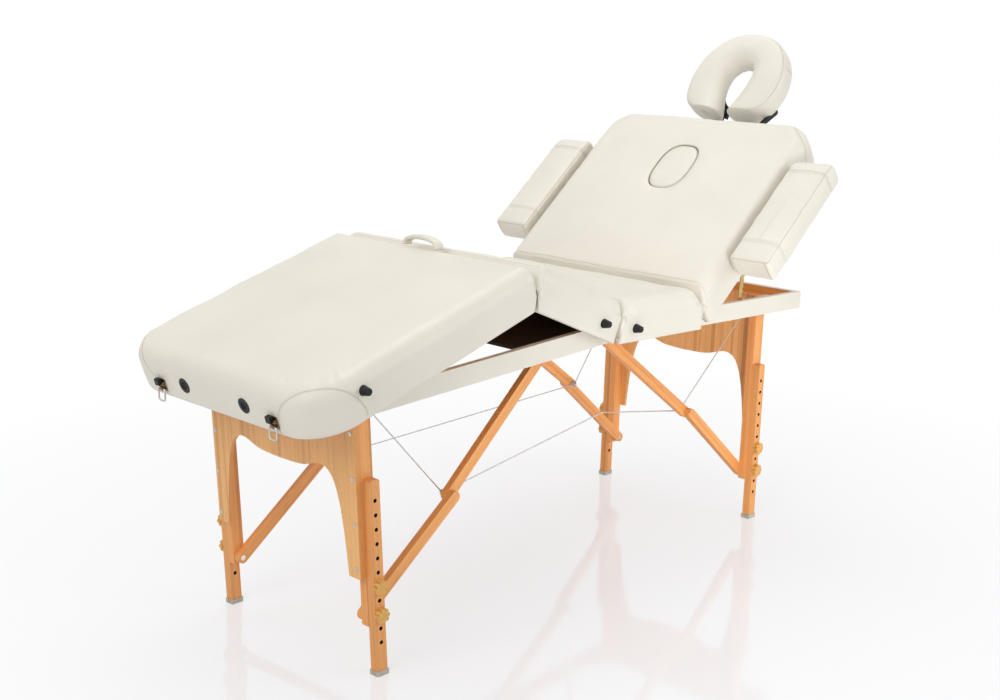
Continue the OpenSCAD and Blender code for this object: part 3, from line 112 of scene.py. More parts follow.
class TableColours(bpy.types.PropertyGroup):
    """Base colours of the finishes."""
    leather: bpy.props.FloatVectorProperty(
        name="Leather", description="Cream artificial leather", subtype="COLOR",
        default=(0.80, 0.765, 0.68))
    wood: bpy.props.FloatVectorProperty(
        name="Wood", description="Honey coloured beech", subtype="COLOR",
        default=(0.90, 0.41, 0.13))
    knob: bpy.props.FloatVectorProperty(
        name="Knob", description="Golden star knobs", subtype="COLOR",
        default=(0.74, 0.40, 0.09))
    steel: bpy.props.FloatVectorProperty(
        name="Steel", description="Zinc plated steel", subtype="COLOR",
        default=(0.62, 0.60, 0.56))
    gold: bpy.props.FloatVectorProperty(
        name="Yellow zinc", description="Yellow passivated ratchet steel", subtype="COLOR",
        default=(0.62, 0.46, 0.18))
    foot: bpy.props.FloatVectorProperty(
        name="Rubber feet", description="Pale rubber feet", subtype="COLOR",
        default=(0.52, 0.48, 0.40))


# ---------------------------------------------------------------- places

def sizes():
    return bpy.context.scene.table_sizes


def colours():
    return bpy.context.scene.table_colours


class Place:
    """A right or left handed local frame: x along a piece, y across the table, z out of it."""

    def __init__(self, origin, ex, ez):
        self.o, self.ex, self.ez = np.array(origin, float), np.array(ex), np.array(ez)

    def __call__(self, p):
        """World points of local points (metres), shape (..., 3)."""
        p = np.asarray(p, float)
        return (self.o + p[..., 0:1] * self.ex + p[..., 1:2] * np.array([0, 1, 0])
                + p[..., 2:3] * self.ez)

    def turned(self, origin, a):
        """The frame at a local origin, its x turned by a toward its z."""
        ex = self.ex * math.cos(a) + self.ez * math.sin(a)
        ez = -self.ex * math.sin(a) + self.ez * math.cos(a)
        return Place(self([origin[0], 0, origin[1]]), ex, ez)

    def local(self, p):
        """Local coordinates of world points."""
        d = np.asarray(p, float) - self.o
        return np.stack([d @ self.ex, d[..., 1], d @ self.ez], -1)


def places():
    s = sizes()
    c, k = math.cos(s.camber), math.sin(s.camber)
    o = (s.fold_x, 0, s.fold_z)
    foot = Place(o, (-c, 0, -k), (-k, 0, c))
    head = Place(o, (c, 0, -k), (k, 0, c))
    thigh = foot.turned((0, s.deck), s.thigh_rise)
    leg = thigh.turned((0.295, 0), -s.thigh_rise - s.leg_fall)
    seat = head.turned((0, s.deck - 0.0002), 0)
    back = head.turned((0.305, s.deck), s.back_rise)
    bar = back.turned((0.606, -0.002), s.ring_tilt)
    ring = bar.turned((0.1544, -0.004), 0)
    foot_leg = foot.turned((0.674, 0.026), -math.radians(0.45))
    head_leg = head.turned((0.6557, 0.026), math.radians(1.0))
    return dict(foot=foot, head=head, thigh=thigh, leg=leg, seat=seat, back=back, bar=bar,
                ring=ring, foot_leg=foot_leg, head_leg=head_leg)


# ---------------------------------------------------------------- surfaces

def waves(s, v, seed, count, short, long):
    """Smooth noise in about -1..1: a sum of sine waves with wavelengths from short to long."""
    rng = np.random.default_rng(seed)
    total = np.zeros(np.broadcast(s, v).shape)
    for _ in range(count):
        length = math.exp(rng.uniform(math.log(short), math.log(long)))
        a = rng.uniform(0, 2 * math.pi)
        total += np.sin(2 * math.pi * (s * math.cos(a) + v * math.sin(a)) / length
                        + rng.uniform(0, 6.28))
    return total / math.sqrt(count) / 1.2


def bell(d, w):
    """Bell curve of a distance: 1 at zero, falling over about w."""
    return np.exp(-(d / w) ** 2)


def mesh_object(name, verts, faces, material, body, node=None, seam_and_shade=None):
    """One smooth object from points and faces in the row frame; it rides on its body.

    Faces are turned to point outwards when the volume they enclose comes out negative.
    seam_and_shade, if given, is a point attribute from 0 to 1 that the leather darkens by: stitched
    seams, and painted shade down the wall of the face opening.
    """
    mesh = bpy.data.meshes.new(name)
    mesh.from_pydata(np.asarray(verts, float).reshape(-1, 3), [], faces)
    mesh.polygons.foreach_set("use_smooth", np.full(len(mesh.polygons), True))
    layer = mesh.attributes.new("seam_and_shade", "FLOAT", "POINT")
    layer.data.foreach_set("value", np.zeros(len(mesh.vertices)) if seam_and_shade is None else seam_and_shade)
    work = bmesh.new()
    work.from_mesh(mesh)
    if work.calc_volume(signed=True) < 0:
        bmesh.ops.reverse_faces(work, faces=work.faces)
        work.to_mesh(mesh)
    work.free()
    mesh.update()
    ob = bpy.data.objects.new(name, mesh)
    bpy.context.scene.collection.objects.link(ob)
    ob.data.materials.append(material)
    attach(ob, body)
    if node:
        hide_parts(*([node] if isinstance(node, str) else node))
    return ob


def ring_faces(rows, cols):
    """Quads between closed rings of cols points, with one face over the first and last ring."""
    i, j = np.meshgrid(np.arange(rows - 1), np.arange(cols), indexing="ij")
    a, b = i * cols + j, i * cols + (j + 1) % cols
    faces = np.stack([a, b, b + cols, a + cols], -1).reshape(-1, 4).tolist()
    return faces + [list(range(cols))[::-1], list(range((rows - 1) * cols, rows * cols))]


def leather_object(name, verts, faces, body, node, seam_and_shade=None, lines=()):
    """Padded leather piece that takes the place of a CAD node."""
    ob = mesh_object(name, verts, faces, leather(*lines), body, node, seam_and_shade=seam_and_shade)


def spread(length, step, fine=0.0, start=0.0, end=0.0):
    """Fractions along a stretch: fine steps over start and end millimetres, wide ones between."""
    start, end = min(start, length * 0.45), min(end, length * 0.45)
    cuts = [np.array([0.0])]
    at = 0.0
    for run, size in ((start, fine), (length - start - end, step), (end, fine)):
        if run > 0:
            n = max(2, int(round(run / size)))
            cuts.append(at + run * np.arange(1, n + 1) / n)
        at += run
    return np.concatenate(cuts)[:-1] / length


class Outline:
    """Rounded rectangle walked counter-clockwise from the middle of its far end.

    Every ring uses the same fractions of the same nine stretches, so rings of other
    sizes line up point by point.
    """

    def __init__(self, x0, x1, half, r0, r1, step, fine=None):
        fine = fine or step
        near = 60.0 if fine < step else 0.0
        runs = self._runs(x0, x1, half, r0, r1)
        lengths = [length for _, length in runs]
        self.stretches = [
            (0, spread(lengths[0], step, fine, 0, near)),
            (1, spread(lengths[1], fine)),
            (2, spread(lengths[2], step, fine, near, 0)),
            (3, np.arange(9) / 9),
            (4, spread(lengths[4], step)),
            (5, np.arange(9) / 9),
            (6, spread(lengths[6], step, fine, 0, near)),
            (7, spread(lengths[7], fine)),
            (8, spread(lengths[8], step, fine, near, 0))]
        self.kinds = np.concatenate([np.full(len(f), kind) for kind, f in self.stretches])
        self.s = np.concatenate([base + f * length
                                 for (kind, f), (base, length) in zip(self.stretches, runs)])
        self.corner = {1: (runs[1][0], runs[2][0]), 7: (runs[7][0], runs[8][0])}

    @staticmethod
    def _runs(x0, x1, half, r0, r1):
        lengths = [half - r1, r1 * math.pi / 2, x1 - x0 - r0 - r1, r0 * math.pi / 2,
                   2 * (half - r0), r0 * math.pi / 2, x1 - x0 - r0 - r1, r1 * math.pi / 2,
                   half - r1]
        base, out = 0.0, []
        for length in lengths:
            out.append((base, length))
            base += length
        return out

    def ring(self, x0, x1, half, r0, r1):
        """Points (n, 2) and outward normals (n, 2) of one ring."""
        p, q = [], []
        for kind, f in self.stretches:
            one = np.ones_like(f)
            if kind in (1, 3, 5, 7):
                a = (kind - 1) * math.pi / 4 + f * math.pi / 2
                r = r1 if kind in (1, 7) else r0
                cx = x1 - r1 if kind in (1, 7) else x0 + r0
                cy = (half - r) * (1 if kind in (1, 3) else -1)
                n = np.stack([np.cos(a), np.sin(a)], -1)
                p.append(np.array([cx, cy]) + r * n)
                q.append(n)
                continue
            if kind == 0:
                pt, n = (x1 * one, f * (half - r1)), (one, 0 * one)
            elif kind == 2:
                pt, n = (x1 - r1 - f * (x1 - x0 - r0 - r1), half * one), (0 * one, one)
            elif kind == 4:
                pt, n = (x0 * one, half - r0 - f * 2 * (half - r0)), (-one, 0 * one)
            elif kind == 6:
                pt, n = (x0 + r0 + f * (x1 - x0 - r0 - r1), -half * one), (0 * one, -one)
            else:
                pt, n = (x1 * one, -half + r1 + f * (half - r1)), (one, 0 * one)
            p.append(np.stack(pt, -1))
            q.append(np.stack(n, -1))
        return np.concatenate(p), np.concatenate(q)


def section_pad(name, place, body, nodes, x0, x1, r0, r1, bevels, ends, seed, hole=None,
                arch=None, calm=()):
    """Padded section as one closed grid of rings.

    The rings start under the deck, go down inside the skirts, round the hem, up the side,
    over a quarter circle at the top edge and in over the top. Each skin point is then
    pushed out along its normal by pad_shift. bevels are the angles above the deck at x0
    and x1 and below it at x0 and x1; ends scales the top rounding at x0 and x1. A pad with
    an arch seam also has a skirt across its far end. A stitched line runs 8 mm inside each
    hinge end, where the leather meets a plane parallel to that end face.
    """
    s = sizes()
    half, top, puff = s.pad_half / MM, s.foam / MM, s.puff / MM
    closed = arch is not None
    far_gap = 0 if closed else GAP
    out = Outline(x0 + GAP, x1 - far_gap, half, r0, r1, 9.0, 2.6 if arch else None)
    tb = [math.tan(a) for a in bevels]
    open_cols = (out.kinds == 4) if closed else np.isin(out.kinds, (4, 8, 0))
    z0 = top - CROWN - EDGE
    base = z0 + EDGE * math.pi / 2

    def skin(prof, p):
        return pad_shift(prof, p, base, puff, seed, out, arch, calm, x0, x1, closed)

    def ring_at(z, inset, d):
        a = x0 + GAP + max(z, 0) * tb[0] + max(-z, 0) * tb[2] + d * ends[0]
        b = x1 - far_gap - max(z, 0) * tb[1] - max(-z, 0) * tb[3] - d * ends[1]
        q0 = max(r0 - inset - d * ends[0] / 3, min(r0, 2.0) if inset else r0 * 0.6)
        q1 = max(r1 - inset - d * ends[1] * 0.55, min(r1, 2.0) if inset else r1 * 0.5)
        return out.ring(a, b - (inset if closed else 0), half - inset - d * 0.86, q0, q1)

    rows = [(WALL, 0.4, None), (WALL, -9.0, None), (WALL, -SKIRT + 8, None),
            (WALL - 0.8, -SKIRT + 3, None), (WALL - 4, -SKIRT, None), (9.0, -SKIRT, None)]
    rows += [(4 - 4 * math.sin(t), -SKIRT + 4 - 4 * math.cos(t), None)
             for t in np.linspace(0.1, math.pi / 2, 4)]
    rows += [(0.0, z, 0.0) for z in np.arange(-SKIRT + 6.5, z0 - 1, 2.5)]
    rows += [(0.0, z0 + EDGE * math.sin(a), a) for a in np.linspace(0, math.pi / 2, 23)]
    pts, seams_and_shade = [], []
    for inset, z, el in rows:
        d = EDGE * (1 - math.cos(el)) if el else 0.0
        p, n = ring_at(z, inset, d)
        zz = np.where(open_cols & (z < 0), 0.5 + z * 0.4 / SKIRT, z)
        shift, seam_and_shade = 0.0, np.zeros(len(out.s))
        if el is not None:
            prof = z if z < z0 else z0 + EDGE * el
            shift, seam_and_shade = skin(np.full(len(out.s), prof), p)
        cz, sz = math.cos(el or 0), math.sin(el or 0)
        pts.append(np.stack([p[:, 0] + n[:, 0] * cz * shift, p[:, 1] + n[:, 1] * cz * shift,
                             zz + sz * shift], -1))
        seams_and_shade.append(seam_and_shade)
    rim = p
    if hole:
        hx, hy, hl, hw = hole
        ang = np.arctan2(rim[:, 1] - hy, rim[:, 0] - hx)
        inner = oval(hx, hy, hl, hw, np.arctan2(np.sin(ang) / hw, np.cos(ang) / hl))
    else:
        mid = (rim.max(0) + rim.min(0)) / 2
        inner = mid + (rim - mid) * 0.03
    for i in range(1, 27):
        p = rim + (inner - rim) * (i / 26) ** 1.35
        prof = base + np.linalg.norm(p - rim, axis=1)
        rise = CROWN * np.sin(np.clip((prof - base) / 140.0, 0, 1) * math.pi / 2)
        shift, seam_and_shade = skin(prof, p)
        pts.append(np.stack([p[:, 0], p[:, 1], z0 + EDGE + rise + shift], -1))
        seams_and_shade.append(seam_and_shade)
    if hole:
        lip = pts[-1]
        toward = np.array([hx, hy]) - lip[:, :2]
        toward /= np.linalg.norm(toward, axis=1)[:, None]
        # The rows down the wall of the face opening are darkened to warm brown: painted shade of the
        # gap round the plug.
        for inward, down, dark in ((1.2, 0.8, 0.3), (2.2, 2.4, 1), (2.6, 5.0, 1), (2.6, 30.0, 1)):
            pts.append(np.concatenate([lip[:, :2] + toward * inward, lip[:, 2:] - down], 1))
            seams_and_shade.append(np.full(len(out.s), float(dark)))
    lines = []
    for x, slope, inward in ((x0, tb[0], 1), (x1, tb[1], -1))[:1 if closed else 2]:
        normal = (inward * place.ex - slope * place.ez) / math.hypot(1, slope)
        far = float(normal @ (place.o + place.ex * x * MM)) + 8 * MM
        lines.append((tuple(float(v) for v in normal), far, 0.0006, 0.4))
    leather_object(name, place(np.concatenate(pts) * MM), ring_faces(len(pts), len(out.s)), body,
                   nodes, np.concatenate(seams_and_shade), lines)


def oval(cx, cy, a, b, t, power=2.7):
    """Points of a superellipse with half axes a and b at parameter t."""
    c, s = np.cos(t), np.sin(t)
    k = (np.abs(c) ** power + np.abs(s) ** power) ** (-1 / power)
    return np.stack([cx + a * k * c, cy + b * k * s], -1)


def pad_shift(prof, p, base, puff, seed, out, arch, calm, x0, x1, closed):
    """How far a pad's skin stands out of its plain form, in millimetres, and its seam mask.

    The side swells by half a sine arch from hem to top edge; creases are sums of sine waves
    that are strongest near the edge and at the corners and fade over the top. Hinge ends
    stay flat.
    """
    s = out.s
    height = np.clip((prof + SKIRT) / (SKIRT + base - 12), 0, 1)
    swell = puff * np.sin(height * math.pi) ** 0.8
    reach = 10 + 24 * (prof > 20)
    face = (np.abs(p[:, 0] - x0) < reach) * (prof < base)
    if not closed:
        face = face | ((np.abs(p[:, 0] - x1) < reach) * (prof < base))
    rim = bell(prof - base * 0.8, 34)
    creases = waves(s, prof * 0.25, seed, 9, 80, 280) * 0.9 * (0.35 + rim)
    fine = waves(s, prof * 0.3, seed + 1, 9, 30, 80) * 0.38 * rim
    corner = np.zeros(len(s))
    for lo, hi in out.corner.values():
        corner += bell(s - (lo + hi) / 2, (hi - lo) * 0.8 + 20)
    pleat = waves(s, prof * 0.05, seed + 2, 6, 18, 40) * 0.6 * corner * bell(prof - base, 26)
    inside = np.clip((prof - base) / 60, 0, 1)
    soft = waves(p[:, 0], p[:, 1], seed + 3, 8, 120, 420) * 0.8 * inside
    shift = (swell + (creases + fine + pleat) * (1 - inside)) * np.where(face, 0.1, 1.0) + soft
    seam_and_shade = np.zeros(len(s))
    if arch:
        groove, seam_and_shade = arch_seam(prof, out, *arch)
        shift = shift + groove
    for cx, cy, cz, r in calm:
        near = bell(np.sqrt((p[:, 0] - cx) ** 2 + (p[:, 1] - cy) ** 2 + (prof - cz) ** 2), r)
        shift = shift * (1 - near) - 0.5 * near
    return shift, seam_and_shade


def arch_seam(prof, out, reach_end, reach_side, rise):
    """Seam over each far corner: half an ellipse from hem to hem, rise high at its middle.

    A narrow bell curve of the distance to that line is cut into the skin, with a low welt
    on either side.
    """
    s = out.s
    shift, seam_and_shade = np.zeros(len(s)), np.zeros(len(s))
    for kind, lo, hi in ((1, reach_end, reach_side), (7, reach_side, reach_end)):
        a, b = out.corner[kind]
        mid = (a + b) / 2
        w = np.where(s < mid, mid - a + lo, b + hi - mid)
        t = np.abs(s - mid) / w
        root = np.sqrt(np.clip(1 - t ** 2, 0, 1))
        slope = rise / w * t / np.maximum(root, 0.15)
        d = (prof - (-SKIRT + rise * root)) / np.sqrt(1 + slope ** 2)
        on = (t < 1.0) * 1.0
        shift += on * (-1.2 * bell(d, 1.7) + 0.4 * bell(d - 5, 4) + 0.4 * bell(d + 5, 4))
        seam_and_shade += on * bell(d, 1.3) * 0.75
    return shift, np.clip(seam_and_shade, 0, 1)


def box_cushion(x0, x1, y0, y1, z0, z1, rnd, r0, r1, seed):
    """Closed cushion: rings from the middle of its underside round the sides to its top.

    The section is a rounded rectangle with slightly swelled faces. Its corners have radius
    r0 at x0 and r1 at x1, where the top also slopes down. Pairs of seams cross it inside
    both ends, one seam runs all round just under the top edge, and one stands at each
    corner of the end face at x0.
    """
    half, cy = (y1 - y0) / 2, (y0 + y1) / 2
    out = Outline(x0, x1, half, r0, r1, 3.2)
    rows = [(rnd + (half - rnd) * (1 - t), z0, -math.pi / 2) for t in (0.05, 0.3, 0.6, 0.85)]
    rows += [(rnd * (1 - math.cos(a)), z0 + rnd * (1 + math.sin(a)), a)
             for a in np.linspace(-math.pi / 2, 0, 10)]
    rows += [(0, z, 0.0) for z in np.linspace(z0 + rnd, z1 - rnd, 16)[1:-1]]
    rows += [(rnd * (1 - math.cos(a)), z1 - rnd * (1 - math.sin(a)), a)
             for a in np.linspace(0, math.pi / 2, 12)]
    rows += [(rnd + (half - rnd) * t, z1, math.pi / 2) for t in np.linspace(0.05, 0.96, 18)]
    pts, seams_and_shade = [], []
    for d, z, el in rows:
        w = half - d
        q0, q1 = [max(min(r - d * 0.5, w - 0.5), 0.4) for r in (r0, r1)]
        p, n = out.ring(x0 + d, x1 - d * (1.7 if z > z0 + rnd else 1), w, q0, q1)
        lo, hi = p[:, 0] - x0, x1 - p[:, 0]
        side = math.cos(el)
        body = 2.4 * math.sin(min(max((z - z0) / (z1 - z0), 0), 1) * math.pi) * side
        dome = (1 - side) * 3.4 * np.clip(1 - (np.abs(p[:, 1]) / half) ** 2, 0, 1)
        dome = dome * np.clip(np.minimum(lo, hi) / 40, 0, 1)
        wrinkle = (waves(p[:, 0], p[:, 1] + z * 2, seed, 8, 40, 130) * 0.5
                   + waves(p[:, 0] * 1.3, p[:, 1] + z * 3, seed + 1, 6, 16, 40) * 0.12)
        cross = 0.6 * (bell(lo - 54, 1.4) + bell(lo - 60, 1.3)) + bell(hi - 45, 1.6)
        cross = cross + bell(hi - 51, 1.4) * 0.7
        rim = bell(el - 0.55, 0.09) if 0 < el < 1.5 else 0.0
        stand = bell(np.abs(p[:, 1]) - half + r0, 1.3) * (lo < 1.5) * side
        line = np.clip(cross + rim + stand, 0, 1)
        welt = 0.8 * (bell(lo - 66, 4) + bell(hi - 57, 4)) * (1 if z > z0 + 2 else 0)
        high = max(0.0, (z - (z0 + z1) / 2) / (z1 - z0) * 2)
        slope = -12 * high * np.clip(1 - hi / 34, 0, 1) ** 2
        shift = body + dome + wrinkle - 1.5 * line + welt
        pts.append(np.stack([p[:, 0] + n[:, 0] * side * shift,
                             cy + p[:, 1] + n[:, 1] * side * shift,
                             z + math.sin(el) * shift + slope], -1))
        seams_and_shade.append(line * (0.7 if z > z0 else 0))
    return np.concatenate(pts), ring_faces(len(pts), len(out.s)), np.concatenate(seams_and_shade)


def tube_along(path, radii, sides=16):
    """Round tube over a path of points (metres); each ring stands square to the path."""
    path = np.asarray(path, float)
    tan = np.gradient(path, axis=0)
    tan /= np.linalg.norm(tan, axis=1)[:, None]
    ref = np.array([0.0, 0, 1]) if abs(tan[0][2]) < 0.9 else np.array([1.0, 0, 0])
    rings = []
    u = np.cross(tan[0], ref)
    u /= np.linalg.norm(u)
    for p, t, r in zip(path, tan, np.broadcast_to(radii, (len(path),))):
        u = u - t * (u @ t)
        u /= np.linalg.norm(u)
        w = np.cross(t, u)
        a = np.linspace(0, 2 * math.pi, sides, endpoint=False)[:, None]
        rings.append(p + r * (np.cos(a) * u + np.sin(a) * w))
    return np.concatenate(rings), ring_faces(len(path), sides)


# ---------------------------------------------------------------- materials

class Sock:
    """Output of a node that is added, subtracted and multiplied like a number."""

    def __init__(self, net, socket):
        self.net, self.socket = net, socket

    def __add__(self, other):
        return self.net.maths("ADD", self, other)

    def __sub__(self, other):
        return self.net.maths("SUBTRACT", self, other)

    def __mul__(self, other):
        return self.net.maths("MULTIPLY", self, other)

    __radd__ = __add__
    __rmul__ = __mul__


class Net:
    """A node tree in which every node comes from one method."""

    def __init__(self, tree):
        self.tree = tree

    def node(self, kind, inputs, out=0, stops=(), **settings):
        """Socket of a new node: settings first, then values or links by input name or index."""
        node = self.tree.nodes.new("ShaderNode" + kind)
        for key, value in settings.items():
            setattr(node, key, value)
        for i, (position, colour) in enumerate(stops):
            elements = node.color_ramp.elements
            point = elements[i] if i < len(elements) else elements.new(1)
            point.position, point.color = position, (*colour[:3], 1)
        for key, value in inputs.items():
            self.feed(node.inputs[key], value)
        return Sock(self, node.outputs[out])

    def feed(self, socket, value):
        if isinstance(value, Sock):
            self.tree.links.new(value.socket, socket)
        else:
            socket.default_value = value

    def maths(self, operation, *values, clamp=False):
        return self.node("Math", dict(enumerate(values)), operation=operation, use_clamp=clamp)

    def ramp(self, value, *stops):
        """Colour of a value between stops of (position, colour)."""
        return self.node("ValToRGB", {0: value}, stops=stops)

    def blend(self, share, low, high, how="MIX"):
        """Colour low turned toward colour high by share."""
        return self.node("Mix", {0: share, 6: low, 7: high}, 2, data_type="RGBA", blend_type=how)


class Finish(Net):
    """A principled material under construction, in object coordinates."""

    def __init__(self, name, colour, rough, metal=0.0, coat=0.0):
        self.mat = bpy.data.materials.new(name)
        self.mat.use_nodes = True
        super().__init__(self.mat.node_tree)
        self.shader = self.tree.nodes["Principled BSDF"].inputs
        self.set(("Base Color", (*colour, 1)), ("Roughness", rough), ("Metallic", metal),
                 ("Coat Weight", coat))
        self.at = self.node("TexCoord", {}, "Object")

    def set(self, *pairs):
        for key, value in pairs:
            self.feed(self.shader[key], value)

    def along(self, axis):
        """Distance along an axis, as a dot product of the place with it."""
        return self.node("VectorMath", {0: self.at, 1: tuple(axis)}, "Value",
                         operation="DOT_PRODUCT")

    def noise(self, scale, detail=3.0, at=None, rough=0.5):
        return self.node("TexNoise", {"Vector": at or self.at, "Scale": scale, "Detail": detail,
                                      "Roughness": rough})

    def bump(self, height, strength, distance):
        self.set(("Normal", self.node("Bump", {"Strength": strength, "Distance": distance,
                                               "Height": height})))


MADE = {}


def once(fn):
    """Makes a finish the first time it is asked for and hands it back afterwards."""
    def get(*key):
        name = (fn.__name__,) + key
        if name not in MADE:
            MADE[name] = fn(*key)
        return MADE[name]
    return get


def shade(c, *k):
    """Colour c times k, with one factor or one for each channel."""
    k = k * 3 if len(k) == 1 else k
    return tuple(min(1.0, v * f) for v, f in zip(c[:3], k))


@once
def leather(*lines):
    """Cream leather: soft mottling, a fine pebble grain and slow ripples in the bump.

    The seam_and_shade attribute turns the colour toward a warm brown along the stitched lines,
    and down the wall of the face opening as painted shade of the gap round the plug. Each of
    lines is (normal, distance, half width, strength) of a plane where a further dark line
    shows: stitched lines near the hinge ends, and painted shade of the gap at the fold of the
    side rails.
    """
    c = tuple(colours().leather)
    f = Finish("cream_leather_%d" % len(MADE), c, 0.42, coat=0.05)
    line = f.node("Attribute", {}, "Fac", attribute_name="seam_and_shade")
    for normal, distance, width, strength in lines:
        line = line + f.maths("COMPARE", f.along(normal), distance, width) * strength
    tone = f.ramp(f.noise(6, 2), (0.3, shade(c, 0.97)), (0.7, shade(c, 1.02)))
    f.set(("Base Color", f.blend(line * 0.7, tone, (*shade(c, 0.45, 0.38, 0.27), 1))),
          ("Roughness", f.noise(60, 2) * 0.14 + 0.37))
    pebble = f.node("TexVoronoi", {"Vector": f.at, "Scale": 850}, "Distance")
    f.bump(pebble * 0.35 + f.noise(420, 2) * 0.3 + f.noise(46, 3) * 0.9, 0.22, 0.0011)
    return f.mat


@once
def wood(*key):
    """Beech: long streaks and short flecks along a grain direction, as stretched noise.

    key is the direction, then if wanted the tone, which scales the colour, and the paleness,
    which scales green once and blue twice on top of it.
    """
    d = np.array(key[:3], float)
    tone, pale = (key[3:] + (1.0, 1.0))[:2]
    d /= np.linalg.norm(d)
    side = np.cross(d, (0.0, 1.0, 0.0))
    side = side / np.linalg.norm(side) if np.linalg.norm(side) > 0.1 else np.array([1.0, 0, 0])
    other = np.cross(d, side)
    c = shade(tuple(colours().wood), tone, tone * pale, tone * pale * pale)
    f = Finish("beech_%d" % len(MADE), c, 0.4, coat=0.05)
    x, y, z = f.along(d), f.along(side), f.along(other)

    def grain(size, long, wide, detail, rough=0.5):
        at = f.node("CombineXYZ", {0: x * long, 1: y * wide, 2: z * wide})
        return f.noise(size, detail, at, rough)

    streak, broad, fleck = grain(1, 1.7, 130, 3, 0.6), grain(1, 0.9, 14, 1), grain(1, 55, 620, 2)
    tint = f.ramp(streak * 0.65 + broad * 0.35, (0.34, shade(c, 0.72, 0.62, 0.55)),
                  (0.46, shade(c, 0.97, 0.95, 0.93)), (0.58, shade(c, 1.03)),
                  (0.74, shade(c, 1.06, 1.16, 1.35)))
    dark = f.ramp(fleck, (0.28, (0.78, 0.70, 0.62)), (0.40, (1, 1, 1)))
    f.set(("Base Color", f.blend(0.7, tint, dark, "MULTIPLY")), ("Roughness", streak * 0.16 + 0.36))
    f.bump(streak * 0.5 + fleck * 0.5, 0.12, 0.0004)
    return f.mat


@once
def ply_edge(*axis):
    """Cut edge of plywood: thin light and dark layers through the thickness."""
    c = tuple(colours().wood)
    f = Finish("ply_edge_%d" % len(MADE), c, 0.5, coat=0.08)
    layer = f.maths("SINE", f.along(axis) * 3900.0) * 0.5 + 0.5 + (f.noise(90, 2) - 0.5) * 0.5
    f.set(("Base Color", f.ramp(layer, (0.2, shade(c, 0.66)), (0.55, shade(c, 0.95)),
                                (0.9, shade(c, 1.05)))))
    f.bump(layer, 0.1, 0.0003)
    return f.mat


@once
def metal(kind):
    """Plated steel: faint brushed mottling in colour and roughness."""
    c = {"steel": tuple(colours().steel), "gold": tuple(colours().gold),
         "bronze": (0.30, 0.21, 0.13), "aluminium": (0.66, 0.66, 0.65)}[kind]
    f = Finish(kind + "_finish", c, 0.32, metal=1.0)
    f.set(("Base Color", f.ramp(f.noise(140, 3), (0.3, shade(c, 0.86)), (0.7, shade(c, 1.08)))),
          ("Roughness", f.noise(260, 2) * 0.22 + 0.22))
    f.bump(f.noise(900, 2), 0.05, 0.0002)
    return f.mat


@once
def dull(name):
    """Plastics, rubber and paint: nearly even colour with slight change in roughness. The dark brown
    bore finish is painted shade inside the leg bores, and the black paint also serves as painted
    shade on the discs in the end bores.
    """
    c, r, coat = {
        "black_plastic": ((0.008, 0.008, 0.009), 0.40, 0.0),
        "black_rubber": ((0.014, 0.014, 0.015), 0.55, 0.0),
        "black_paint_and_shade": ((0.016, 0.015, 0.015), 0.6, 0.0),
        # painted shade: this dark brown stands in for the shade inside the leg bores
        "bore_shade": ((0.030, 0.014, 0.007), 0.7, 0.0),
        "pale_rubber": (tuple(colours().foot), 0.6, 0.0),
        "knob": (tuple(colours().knob), 0.3, 0.35)}[name]
    f = Finish(name + "_finish", c, r, coat=coat)
    f.set(("Specular IOR Level", 0.25))
    n = f.noise(120, 3)
    f.set(("Base Color", f.ramp(n, (0.3, shade(c, 0.84)), (0.7, shade(c, 1.14)))),
          ("Roughness", n * 0.16 + (r - 0.08)))
    f.bump(f.noise(1200, 2), 0.08, 0.0002)
    return f.mat


def set_material(node, *rules, default):
    """Gives a CAD node its finish; each rule is (test(centres, normals) -> mask, finish)."""
    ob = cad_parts[node]
    mesh = ob.data
    mesh.materials.clear()
    mesh.materials.append(default)
    n = len(mesh.polygons)
    centre = np.zeros(n * 3)
    normal = np.zeros(n * 3)
    mesh.polygons.foreach_get("center", centre)
    mesh.polygons.foreach_get("normal", normal)
    centre, normal = centre.reshape(-1, 3), normal.reshape(-1, 3)
    index = np.zeros(n, int)
    for test, finish in rules:
        if finish.name not in [m.name for m in mesh.materials]:
            mesh.materials.append(finish)
        index[test(centre, normal)] = [m.name for m in mesh.materials].index(finish.name)
    mesh.polygons.foreach_set("material_index", index)


# ---------------------------------------------------------------- operators

class TABLE_OT_leg_cushion(bpy.types.Operator):
    """Leg section: long pad with wide foot corners and arched corner seams."""
    bl_idname = "table.leg_cushion"
    bl_label = "Leg cushion"

    def execute(self, context):
        at = places()
        calm = [(LEG, y, -2, 24) for y in (-BORE_Y, BORE_Y)]
        calm += [(LEG, y, -16, 30) for y in (-183, 183)]
        section_pad("leg_cushion_soft", at["leg"], "leg_section", "leg_cushion", 0, LEG, 9, 95,
                    (0.0, 0.0, math.radians(20.6), 0.0), (0.5, 0.95), 11, arch=(21, 22, 96),
                    calm=calm)
        return {"FINISHED"}


class TABLE_OT_thigh_cushion(bpy.types.Operator):
    """Thigh section: short pad that rises from the fold line to the knee."""
    bl_idname = "table.thigh_cushion"
    bl_label = "Thigh cushion"

    def execute(self, context):
        at = places()
        section_pad("thigh_cushion_soft", at["thigh"], "thigh_section", "thigh_cushion", 0, THIGH,
                    9, 9, (math.radians(13.4), 0.0, 0.0, math.radians(20.6)), (0.35, 0.5), 23)
        return {"FINISHED"}


class TABLE_OT_seat_cushion(bpy.types.Operator):
    """Seat section: pad fixed to the head frame."""
    bl_idname = "table.seat_cushion"
    bl_label = "Seat cushion"

    def execute(self, context):
        at = places()
        section_pad("seat_cushion_soft", at["seat"], "head_frame", "seat_cushion", 0, SEAT,
                    9, 9, (math.radians(13.4), math.radians(30.5), 0.0, 0.0), (0.35, 0.35), 37)
        return {"FINISHED"}


